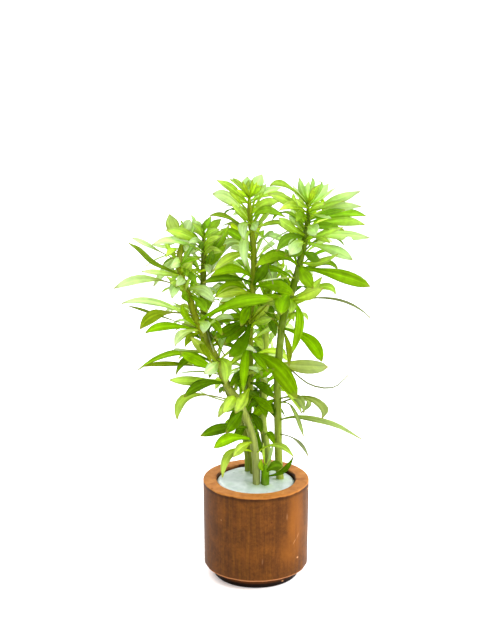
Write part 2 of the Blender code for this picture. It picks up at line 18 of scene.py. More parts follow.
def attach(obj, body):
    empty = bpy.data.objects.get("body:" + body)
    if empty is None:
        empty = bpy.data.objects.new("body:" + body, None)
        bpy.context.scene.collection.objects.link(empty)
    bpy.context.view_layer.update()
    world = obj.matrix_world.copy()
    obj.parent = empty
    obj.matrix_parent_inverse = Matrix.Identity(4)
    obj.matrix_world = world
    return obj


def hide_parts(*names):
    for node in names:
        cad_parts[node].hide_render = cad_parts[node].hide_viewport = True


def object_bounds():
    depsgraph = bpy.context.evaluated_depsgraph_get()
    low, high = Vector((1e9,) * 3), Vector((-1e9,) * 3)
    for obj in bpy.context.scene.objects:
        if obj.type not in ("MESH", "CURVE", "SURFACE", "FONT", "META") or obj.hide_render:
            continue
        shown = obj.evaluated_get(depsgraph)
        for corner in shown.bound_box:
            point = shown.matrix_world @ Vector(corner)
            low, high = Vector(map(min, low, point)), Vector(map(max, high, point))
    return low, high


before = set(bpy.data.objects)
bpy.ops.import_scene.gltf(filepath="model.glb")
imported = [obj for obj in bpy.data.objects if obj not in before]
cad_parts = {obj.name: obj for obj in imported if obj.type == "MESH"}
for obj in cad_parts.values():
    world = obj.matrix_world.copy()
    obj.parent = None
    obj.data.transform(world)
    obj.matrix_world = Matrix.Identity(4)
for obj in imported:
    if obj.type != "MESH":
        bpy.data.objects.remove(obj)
cad_box = [[float(value) for value in corner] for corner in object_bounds()]
MM = 0.001
print("frame of", len(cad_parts), "solids, box", cad_box)

# %% [markdown]
# ## The camera
# The photograph was taken with a long lens from a little above the plant. A pixel of it and a
# depth give one point in space, so every leaf can be put where the photograph shows it. The
# same three numbers (focus in pixels, pitch, place of the eye) set the camera and turn pixels
# into points.

# %% Camera and pixel sight
PHOTO_SIZE = (480, 640)
PHOTO_MIDDLE = (240.0, 320.0)
PHOTO_FOCUS = 2078.0
VIEW_PITCH = math.radians(17.78)
EYE = Vector((-10.0, -1204.0, 552.6)) * MM
PIXEL = 0.625 * MM
SENSOR = 36.0

camera_data = bpy.data.cameras.new("camera")
camera_data.sensor_width = SENSOR
camera_data.lens = PHOTO_FOCUS * SENSOR / PHOTO_SIZE[1]
camera = bpy.data.objects.new("camera", camera_data)
camera.location = EYE
camera.rotation_euler = (math.radians(90.0) - VIEW_PITCH, 0.0, 0.0)
bpy.context.scene.collection.objects.link(camera)
bpy.context.scene.camera = camera


def seen(across, down, near):
    """The point seen at a pixel of the photograph, `near` metres in front of the pot's axis."""
    right = (across - PHOTO_MIDDLE[0]) / PHOTO_FOCUS
    rise = (PHOTO_MIDDLE[1] - down) / PHOTO_FOCUS
    level, dip = math.cos(VIEW_PITCH), math.sin(VIEW_PITCH)
    ray = Vector((right, level + rise * dip, rise * level - dip))
    return EYE + ray * ((-near - EYE.y) / ray.y)


print("lens", round(camera_data.lens, 1), "mm")

# %% [markdown]
# ## Colours and nodes
# Colours are picked as sRGB hex values, as a painter names them, but shaders add up light, so
# one function turns them linear. A second small function adds a shader node with its settings
# and links: materials then read like recipes. Colours are laid over each other in a loop.

# %% Helpers for colours, nodes and objects
def linear(code):
    """An sRGB hex colour as linear red, green, blue and alpha."""
    channels = [int(code[i:i + 2], 16) / 255.0 for i in (1, 3, 5)]
    return tuple(c / 12.92 if c <= 0.04045 else ((c + 0.055) / 1.055) ** 2.4 for c in channels) + (1.0,)


def add_node(tree, kind, inputs=None, stops=(), **settings):
    """Add a node; `inputs` maps a socket's name or number to a value or to a socket it is fed from.

    A colour ramp also gets `stops`, pairs of a position and a colour."""
    made = tree.nodes.new("ShaderNode" + kind)
    for name, value in settings.items():
        setattr(made, name, value)
    for socket, value in (inputs or {}).items():
        if isinstance(value, bpy.types.NodeSocket):
            tree.links.new(value, made.inputs[socket])
        else:
            made.inputs[socket].default_value = value
    if stops:
        while len(made.color_ramp.elements) < len(stops):
            made.color_ramp.elements.new(0.5)
        for element, (position, colour) in zip(made.color_ramp.elements, stops):
            element.position = position
            element.color = colour
    return made


def new_material(name):
    """An empty material, with its node tree and its output node."""
    material = bpy.data.materials.new(name)
    material.use_nodes = True
    tree = material.node_tree
    tree.nodes.clear()
    return material, tree, tree.nodes.new("ShaderNodeOutputMaterial")


def grey(value):
    """A neutral colour, for ramps that carry a number."""
    return (value, value, value, 1.0)


def finish_piece(name, shape, material, nodes):
    """Turn a bmesh into a piece of the plant that rides with the pot and stands for its solids."""
    mesh = bpy.data.meshes.new(name)
    shape.to_mesh(mesh)
    shape.free()
    for face in mesh.polygons:
        face.use_smooth = True
    mesh.materials.append(material)
    piece = bpy.data.objects.new(name, mesh)
    bpy.context.scene.collection.objects.link(piece)
    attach(piece, "root")
    if nodes:
        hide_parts(*nodes)
    print(name, len(mesh.polygons), "faces")
    return piece


# %% [markdown]
# ## The wooden pot
# The real pot is a straight cup turned from stained wood: a thick flat rim whose end grain
# stayed orange, straight walls with a worn lower edge, and a small recessed foot in the body's
# shade, which is painted near black. A turned thing is best made as it was made: a profile spun
# round its axis. More steps than the solid has keep its outline round.

# %% Turn the pot
POT_RADIUS = 33.0 * MM
POT_HEIGHT = 63.0 * MM
POT_TAPER = 0.6 * MM
RIM_WALL = 8.4 * MM
RIM_ROUND = 0.7 * MM
BODY_BOTTOM = 6.8 * MM
BODY_ROUND = 1.2 * MM
FOOT_RADIUS = 26.5 * MM
FOOT_CHAMFER = 0.8 * MM
FLOOR_TOP = 13.0 * MM
POT_STEPS = 96
ARC_STEPS = 4
WALL_STEPS = 12


def spin_profile(profile, steps):
    """A closed turned form from (radius, height) points, which end on the axis at both ends."""
    shape = bmesh.new()
    verts = [shape.verts.new((radius, 0.0, height)) for radius, height in profile]
    edges = [shape.edges.new(pair) for pair in zip(verts, verts[1:])]
    bmesh.ops.spin(shape, geom=verts + edges, axis=(0.0, 0.0, 1.0), cent=(0.0, 0.0, 0.0),
                   steps=steps, angle=math.tau, use_merge=True)
    bmesh.ops.remove_doubles(shape, verts=shape.verts, dist=0.01 * MM)
    bmesh.ops.recalc_face_normals(shape, faces=shape.faces)
    return shape


def arc(centre, radius, start, end, steps):
    """Points (radius, height) on a rounded edge of a profile; the angles are in degrees."""
    points = []
    for i in range(steps + 1):
        angle = math.radians(start + (end - start) * i / steps)
        points.append((centre[0] + radius * math.cos(angle), centre[1] + radius * math.sin(angle)))
    return points


def upright(low, high, steps):
    """Points on a straight wall between two (radius, height) points, without its ends."""
    return [(low[0] + (high[0] - low[0]) * i / steps, low[1] + (high[1] - low[1]) * i / steps)
            for i in range(1, steps)]


mouth = POT_RADIUS - RIM_WALL
bottom = POT_RADIUS - POT_TAPER
rim = POT_HEIGHT - RIM_ROUND
pot_profile = [(0.0, FLOOR_TOP), (mouth - POT_TAPER, FLOOR_TOP)]
pot_profile += arc((mouth + RIM_ROUND, rim), RIM_ROUND, 180, 90, ARC_STEPS)
pot_profile += upright((mouth + RIM_ROUND, POT_HEIGHT), (POT_RADIUS - RIM_ROUND, POT_HEIGHT),
                       ARC_STEPS)
pot_profile += arc((POT_RADIUS - RIM_ROUND, rim), RIM_ROUND, 90, 0, ARC_STEPS)
pot_profile += upright((POT_RADIUS, rim), (bottom, BODY_BOTTOM + BODY_ROUND), WALL_STEPS)
pot_profile += arc((bottom - BODY_ROUND, BODY_BOTTOM + BODY_ROUND), BODY_ROUND, 0, -90, ARC_STEPS)
pot_profile += [(FOOT_RADIUS, BODY_BOTTOM), (FOOT_RADIUS, FOOT_CHAMFER),
                (FOOT_RADIUS - FOOT_CHAMFER, 0.0), (0.0, 0.0)]
pot_shape = spin_profile(pot_profile, POT_STEPS)

# %% [markdown]
# Hand-turned wood isn't perfect: the edges of the rim and of the base are knocked and worn.
# A little noise pulls only the points near those two edges inwards, so the pot never grows.

# %% Wear the edges
WEAR_DEPTH = 0.35 * MM
WEAR_PATCH = 5.0 * MM
RIM_BAND = 1.2 * MM
BASE_BAND = 1.6 * MM
FOOT_CLEAR = 2.0 * MM
for vert in pot_shape.verts:
    reach = math.hypot(vert.co.x, vert.co.y)
    near_rim = abs(vert.co.z - POT_HEIGHT) < RIM_BAND and reach > mouth
    near_base = abs(vert.co.z - BODY_BOTTOM) < BASE_BAND and reach > FOOT_RADIUS + FOOT_CLEAR
    if near_rim or near_base:
        worn = max(0.0, noise.noise(vert.co / WEAR_PATCH)) * WEAR_DEPTH
        vert.co.x *= 1.0 - worn / reach
        vert.co.y *= 1.0 - worn / reach
        vert.co.z += worn * (1.0 if near_base else -1.0) * 0.5
print("pot profile of", len(pot_profile), "points")

# %% [markdown]
# The wood is stained and oiled, not painted. Long fibres run up the wall, a few millimetres
# of lighter and darker brown side by side. The stain wore off the rim, which shows smooth
# orange end grain, and off the lowest edge. The foot is painted darkest: painted shade under
# the body, near black at the floor. The photograph also shows small knots, chips and
# scratches, so each gets a spot where its pixel meets the wall: a soft ellipse in the pot's
# own coordinates. The light and sheen on the pot's lit right side are painted the same way,
# as broad warmer patches.

# %% Marks on the wood
# (pixel, half width and half height in mm, tilt in degrees, strength)
DARK_MARKS = [((232.5, 561), (1.0, 0.45), 0, 0.8), ((220.5, 561.5), (0.5, 1.4), 0, 0.6),
              ((209.5, 563), (0.8, 0.7), 0, 0.6), ((271.5, 522.5), (0.7, 0.6), 20, 0.7),
              ((268, 533.5), (2.4, 1.0), -10, 0.5), ((296, 539), (0.4, 1.0), 15, 0.5),
              ((279, 514), (1.6, 6.5), 8, 0.30), ((262, 563), (2.2, 3.0), 0, 0.30),
              ((242, 500), (3.0, 2.2), 0, 0.45), ((254, 500), (3.2, 1.2), 0, 0.55),
              ((270, 498.5), (3.0, 1.0), -8, 0.6), ((284, 495.5), (2.6, 0.9), -14, 0.6),
              ((296, 535), (0.8, 9.0), 0, 0.22), ((236, 515), (2.0, 12.0), 0, 0.18)]
PALE_MARKS = [((297.8, 557.3), (0.9, 0.6), 0, 0.9), ((307.3, 488.5), (1.2, 0.6), 0, 0.9),
              ((297.8, 535.5), (0.22, 2.0), 33, 0.55), ((294.6, 541.5), (0.22, 2.0), 42, 0.6),
              ((287, 517), (0.7, 2.2), 0, 0.16), ((262.5, 562), (0.6, 2.0), 4, 0.14),
              ((282.8, 581.0), (0.8, 0.5), 0, 0.9), ((221.3, 520), (0.6, 0.6), 0, 0.3)]
# The first two paint the light and sheen of the pot's lit right side as warmer, lighter wood; the last two
# are faint warmer patches
SHEEN_AND_WARM_MARKS = [((296, 522), (8.0, 26.0), 0, 0.55), ((290, 550), (9.0, 13.0), 0, 0.35),
              ((246, 556), (9.0, 6.0), 0, 0.14), ((222, 512), (4.0, 9.0), 0, 0.12)]
RIM_MARKS = [((300.5, 479), (5.5, 1.6), 0, 0.55), ((212, 488.3), (0.8, 1.2), 0, 0.7),
             ((289.5, 485), (4.0, 1.0), 0, 0.25), ((232, 494), (2.5, 0.8), 0, 0.25)]


LOOK_DEPTH = 60.0 * MM
LOOK_STEPS = 200
TOUCHING = 0.4 * MM
# How deep a mark reaches, in mm, and where its edge starts and ends, as shares of its size
RIM_MARK_DEPTH = 2.0
WALL_MARK_DEPTH = 6.0
MARK_EDGE = (1.4, 0.2)


def on_wall(across, down):
    """The point of the pot's wall that a pixel of the photograph shows."""
    near, far = seen(across, down, LOOK_DEPTH), seen(across, down, 0.0)
    for i in range(LOOK_STEPS):
        spot = near.lerp(far, i / LOOK_STEPS)
        radius = bottom if spot.z > BODY_BOTTOM else FOOT_RADIUS
        if math.hypot(spot.x, spot.y) < radius + TOUCHING:
            return spot
    return far


def on_rim(across, down):
    """The point of the rim's flat top that a pixel of the photograph shows."""
    near, far = seen(across, down, LOOK_DEPTH), seen(across, down, -LOOK_DEPTH)
    return near.lerp(far, (near.z - POT_HEIGHT) / (near.z - far.z))


def spots(tree, place, marks, flat):
    """A mask with a soft ellipse for every mark, on the wall or on the flat rim."""
    total = None
    for pixel, (wide, tall), tilt, strength in marks:
        centre = on_rim(*pixel) if flat else on_wall(*pixel)
        size = (wide, tall, RIM_MARK_DEPTH) if flat else (wide, WALL_MARK_DEPTH, tall)
        round_pot = 0.0 if flat else math.atan2(centre.x, -centre.y)
        local = add_node(tree, "Mapping", {0: place, "Location": centre, "Scale": Vector(size) * MM,
                                           "Rotation": (0.0, math.radians(tilt), round_pot)},
                         vector_type="TEXTURE")
        far = add_node(tree, "VectorMath", {0: local.outputs[0]}, operation="LENGTH").outputs["Value"]
        mask = add_node(tree, "MapRange", {0: far, 1: MARK_EDGE[0], 2: MARK_EDGE[1], 3: 0.0, 4: strength},
                        interpolation_type="SMOOTHSTEP")
        total = mask.outputs[0] if total is None else add_node(
            tree, "Math", {0: total, 1: mask.outputs[0]}, operation="MAXIMUM").outputs[0]
    return total


# %% Stained wood
def wood_material():
    """Oiled, stained softwood: a satin brown with upright grain, knots, scratches and an orange rim."""
    material, tree, output = new_material("stained_wood")
    place = add_node(tree, "TexCoord").outputs["Object"]
    axes = add_node(tree, "SeparateXYZ", {0: place})
    height = axes.outputs["Z"]
    level = add_node(tree, "CombineXYZ", {0: axes.outputs["X"], 1: axes.outputs["Y"]})
    reach = add_node(tree, "VectorMath", {0: level.outputs[0]}, operation="LENGTH").outputs["Value"]
    # Fibres: about 2 mm wide and 70 mm long
    fibre_place = add_node(tree, "Mapping", {0: place, "Scale": (520.0, 520.0, 14.0)})
    fibres = add_node(tree, "TexNoise", {"Vector": fibre_place.outputs[0], "Scale": 1.0, "Detail": 6.0,
                                         "Roughness": 0.6, "Distortion": 0.9}).outputs[0]
    # Broad bands of stain: about 12 mm wide and 60 mm tall
    band_place = add_node(tree, "Mapping", {0: place, "Scale": (85.0, 85.0, 16.0)})
    bands = add_node(tree, "TexNoise", {"Vector": band_place.outputs[0], "Scale": 1.0,
                                        "Detail": 3.0}).outputs[0]
    # Cloudy wear in patches of 9 mm, flecks of 1 to 3 mm, and clouds in the rim's end grain
    clouds = add_node(tree, "TexNoise", {"Vector": place, "Scale": 110.0, "Detail": 4.0}).outputs[0]
    flecks = add_node(tree, "TexNoise", {"Vector": place, "Scale": 520.0, "Detail": 5.0,
                                         "Roughness": 0.7}).outputs[0]
    rim_clouds = add_node(tree, "TexNoise", {"Vector": place, "Scale": 160.0, "Detail": 5.0,
                                             "Distortion": 0.6}).outputs[0]
    ragged = add_node(tree, "Math", {0: clouds, 1: 0.0016, 2: height}, operation="MULTIPLY_ADD").outputs[0]

    # Where things are: each share goes from 0 at the first measure to its most at the second
    shares = {}
    for name, source, start, end, most in (
            ("mouth", reach, mouth + 0.9 * MM, mouth + 0.3 * MM, 1.0),
            ("far side", axes.outputs["Y"], -6.0 * MM, 3.0 * MM, 1.0),
            ("rim", ragged, POT_HEIGHT - 0.1 * MM, POT_HEIGHT + 0.4 * MM, 1.0),
            ("inside", reach, mouth + 0.4 * MM, mouth + 0.2 * MM, 0.7),
            ("below rim", ragged, POT_HEIGHT - 2.6 * MM, POT_HEIGHT + 0.2 * MM, 1.0),
            ("low edge", height, BODY_BOTTOM + 1.3 * MM, BODY_BOTTOM + 0.5 * MM, 0.75),
            ("foot's width", reach, FOOT_RADIUS + 3.5 * MM, FOOT_RADIUS + 2.0 * MM, 1.0),
            ("foot's height", height, BODY_BOTTOM + 0.3 * MM, BODY_BOTTOM + 0.1 * MM, 1.0),
            ("shade near floor", height, BODY_BOTTOM - 2.4 * MM, BODY_BOTTOM - 4.4 * MM, 1.0)):
        shares[name] = add_node(tree, "MapRange", {0: source, 1: start, 2: end, 4: most}).outputs[0]
    tints = {}
    for name, source, stops in (
            ("warm", clouds, ((0.45, 0.0), (0.70, 0.35))),
            ("bands", bands, ((0.30, 0.80), (0.70, 1.12))),
            ("flecks", flecks, ((0.35, 0.80), (0.65, 1.20))),
            ("patchy", clouds, ((0.44, 0.15), (0.52, 0.95))),
            # A dark, broken line of stain gathered just under the rim
            ("under rim", shares["below rim"], ((0.0, 1.0), (0.55, 0.55), (0.80, 0.50), (0.92, 1.0))),
            ("shine", fibres, ((0.3, 0.42), (0.75, 0.58)))):
        grey_stops = [(position, grey(value)) for position, value in stops]
        tints[name] = add_node(tree, "ValToRGB", {0: source}, stops=grey_stops).outputs["Color"]
    stain = add_node(tree, "ValToRGB", {0: fibres}, stops=[
        (0.30, linear("#44260d")), (0.50, linear("#512d0e")), (0.70, linear("#5e3810"))])
    end_grain = add_node(tree, "ValToRGB", {0: rim_clouds}, stops=[
        (0.30, linear("#8c5624")), (0.50, linear("#9e642c")), (0.70, linear("#ac7238"))])

    # Dirt and painted shade lie in the inner edge, on the far half, where the gel has shrunk away: the dark
    # gap there is painted near black in patches
    dirt_and_gap_shade = add_node(tree, "Math", {0: shares["mouth"], 1: shares["far side"]}, operation="MULTIPLY")
    dirt_and_gap_shade = add_node(tree, "Math", {0: dirt_and_gap_shade.outputs[0], 1: tints["patchy"]}, operation="MULTIPLY")
    on_foot = add_node(tree, "Math", {0: shares["foot's width"], 1: shares["foot's height"]},
                       operation="MULTIPLY")
    # Painted shade: the foot is painted from brown under the body to near black at the floor
    foot = add_node(tree, "Mix", {0: shares["shade near floor"], 6: linear("#5e3313"), 7: linear("#140802")},
                    data_type="RGBA")
    rim_colour = end_grain.outputs["Color"]
    for share, colour in ((spots(tree, place, RIM_MARKS, True), linear("#6a3410")),
                          (dirt_and_gap_shade.outputs[0], linear("#2a1206"))):
        rim_colour = add_node(tree, "Mix", {0: share, 6: rim_colour, 7: colour},
                              data_type="RGBA").outputs[2]
    skin = stain.outputs["Color"]
    for blend, share, colour in (
            ("MIX", tints["warm"], linear("#744312")),
            ("MULTIPLY", 1.0, tints["bands"]),
            ("MULTIPLY", 1.0, tints["flecks"]),
            # Painted light: the lit right side's sheen, as a warmer, lighter brown
            ("MIX", spots(tree, place, SHEEN_AND_WARM_MARKS, False), linear("#8e5216")),
            ("MIX", spots(tree, place, DARK_MARKS, False), linear("#3c1c08")),
            # The rim, and the wall inside the mouth, which kept the rim's colour
            ("MIX", shares["rim"], rim_colour),
            ("MIX", shares["inside"], rim_colour),
            ("MULTIPLY", 1.0, tints["under rim"]),
            # The lowest edge is rubbed pale; the foot below it gets painted shade, from brown to near black
            # at the floor
            ("MIX", shares["low edge"], linear("#c98452")),
            ("MIX", on_foot.outputs[0], foot.outputs[2]),
            ("MIX", spots(tree, place, PALE_MARKS, False), linear("#c08a5c"))):
        skin = add_node(tree, "Mix", {0: share, 6: skin, 7: colour}, data_type="RGBA",
                        blend_type=blend).outputs[2]
    bump = add_node(tree, "Bump", {"Height": fibres, "Strength": 0.15, "Distance": 0.2 * MM})
    shader = add_node(tree, "BsdfPrincipled", {"Base Color": skin, "Roughness": tints["shine"],
                                               "Normal": bump.outputs[0], "IOR": 1.5,
                                               "Specular IOR Level": 0.06})
    tree.links.new(shader.outputs[0], output.inputs[0])
    return material


stained_wood = wood_material()
finish_piece("turned_pot", pot_shape, stained_wood, ["pot"])

# %% [markdown]
# ## Stems
# A stem is a soft green pipe, thicker at the foot, a little swollen where leaves leave it.
# It could be a curve with a bevel, but a ring of points carried along the line gives control
# of its thickness at every height. Each stem's middle line is read from the photograph, with
# a depth for every point.

# %% The shoots' middle lines
Stem = namedtuple("Stem", "foot_radius tip_radius low high line")
CROWN = "#7c9c12"

STEMS = {
    "front": Stem(2.4, 1.5, "#7c864a", "#6c7610", [
        (256.5, 485, 10.0), (256.0, 462, 10.5), (253.0, 440, 11.0), (247.0, 421, 11.5),
        (239.0, 403, 12.0), (226.0, 383, 12.0), (217.0, 360, 11.5), (206.0, 341, 11.0),
        (197.0, 322, 10.5), (190.0, 300, 9.5), (182.0, 278, 8.5), (179.0, 262, 8.0),
        (181.0, 247, 7.5), (183.5, 236, 7.5)]),
    "left": Stem(2.2, 1.4, "#5a6a1a", "#5e6a10", [
        (254.0, 475, -7.0), (250.0, 450, -7.0), (240.0, 420, -7.0), (226.0, 385, -7.0),
        (212.0, 350, -6.5), (204.5, 320, -6.0), (203.0, 300, -5.5), (203.5, 270, -5.0),
        (204.0, 250, -4.5), (203.5, 226, -4.0)]),
    "centre": Stem(2.3, 1.3, "#6c7e28", "#768414", [
        (248.5, 472, -11.5), (248.0, 455, -11.5), (246.0, 436, -11.5), (249.0, 400, -11.0),
        (250.0, 366, -10.0), (249.6, 331, -9.0), (251.6, 303, -8.5), (253.7, 272, -8.0),
        (253.5, 250, -7.5), (251.6, 231, -7.0), (249.6, 208, -6.5), (249.2, 190, -6.0)]),
    "right": Stem(2.4, 1.4, "#829234", "#50660a", [
        (280.0, 478, -0.5), (278.5, 455, 0.0), (278.0, 420, 0.5), (277.5, 385, 1.0),
        (280.0, 345, 1.5), (284.0, 316, 2.0), (293.0, 288, 2.5), (300.0, 262, 3.0),
        (304.7, 241, 3.5), (307.7, 221, 4.0), (308.2, 198, 4.0)]),
    "back": Stem(2.5, 1.3, "#748638", "#8ea03a", [
        (267.0, 470, -15.0), (267.5, 455, -15.5), (265.0, 438, -16.5), (262.7, 418, -17.5),
        (264.0, 371, -19.0), (265.4, 346, -20.0), (266.0, 325, -21.0), (268.0, 300, -22.0),
        (271.0, 280, -22.0)]),
    "sprout": Stem(2.7, 2.4, "#486e04", "#5c8608", [
        (265.0, 485, 10.0), (265.2, 477, 10.0), (265.5, 465, 10.0)]),
}
ROOT_DEPTH = 9.0 * MM
TIP_TAPER = 0.6


def curve_point(points, place):
    """A point on the smooth (Catmull-Rom) curve through the points; place runs from 0 to 1."""
    spot = min(max(place, 0.0), 1.0) * (len(points) - 1)
    i = min(int(spot), len(points) - 2)
    f = spot - i
    b, c = points[i], points[i + 1]
    a = points[i - 1] if i else b - (c - b)
    d = points[i + 2] if i + 2 < len(points) else c + (c - b)
    return 0.5 * (2.0 * b + (c - a) * f + (2.0 * a - 5.0 * b + 4.0 * c - d) * f * f
                  + (3.0 * b - a - 3.0 * c + d) * f ** 3)


class Shoot:
    """A stem's middle line and thickness, and the solids that it stands among."""

    def __init__(self, name):
        stem = STEMS[name]
        self.name = name
        self.rows = [down for _, down, _ in stem.line]
        self.points = [seen(across, down, near * MM) for across, down, near in stem.line]
        self.foot_radius = stem.foot_radius * MM
        self.tip_radius = stem.tip_radius * MM
        self.low, self.high, self.crown = linear(stem.low), linear(stem.high), linear(CROWN)
        self.stem_node = name if name == "sprout" else name + "_stem"
        self.leaf_nodes = [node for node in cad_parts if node.startswith(name + "_leaf_")]
        self.whorls = []

    def place_of_row(self, row):
        """How far up the stem, from 0 to 1, it crosses a pixel row."""
        for i in range(len(self.rows) - 1):
            if row >= self.rows[i + 1]:
                share = (self.rows[i] - row) / (self.rows[i] - self.rows[i + 1])
                return (i + max(share, 0.0)) / (len(self.rows) - 1)
        return 1.0

    def at(self, place):
        """The middle of the stem at a place from 0 to 1."""
        return curve_point(self.points, place)

    def radius(self, place):
        """The stem's radius at a place from 0 to 1; the last tenth narrows into the crown."""
        radius = self.foot_radius + (self.tip_radius - self.foot_radius) * max(place, 0.0) ** 3
        return radius * (1.0 - TIP_TAPER * max(place - 0.9, 0.0) / 0.1)


shoots = {name: Shoot(name) for name in STEMS}
print({name: len(shoot.leaf_nodes) for name, shoot in shoots.items()})

# %% [markdown]
# ## Leaves
# Each leaf is a narrow blade, widest past its middle, with a folded midrib; some have a stalk.
# From the photograph come the row where it leaves its stem, the pixels of its bend and tip,
# the width that shows, and a tone. What its length doesn't show in the picture must run in
# depth. So a leaf that looks short is a long leaf seen from its end, and one that looks thin
# is seen from its edge.

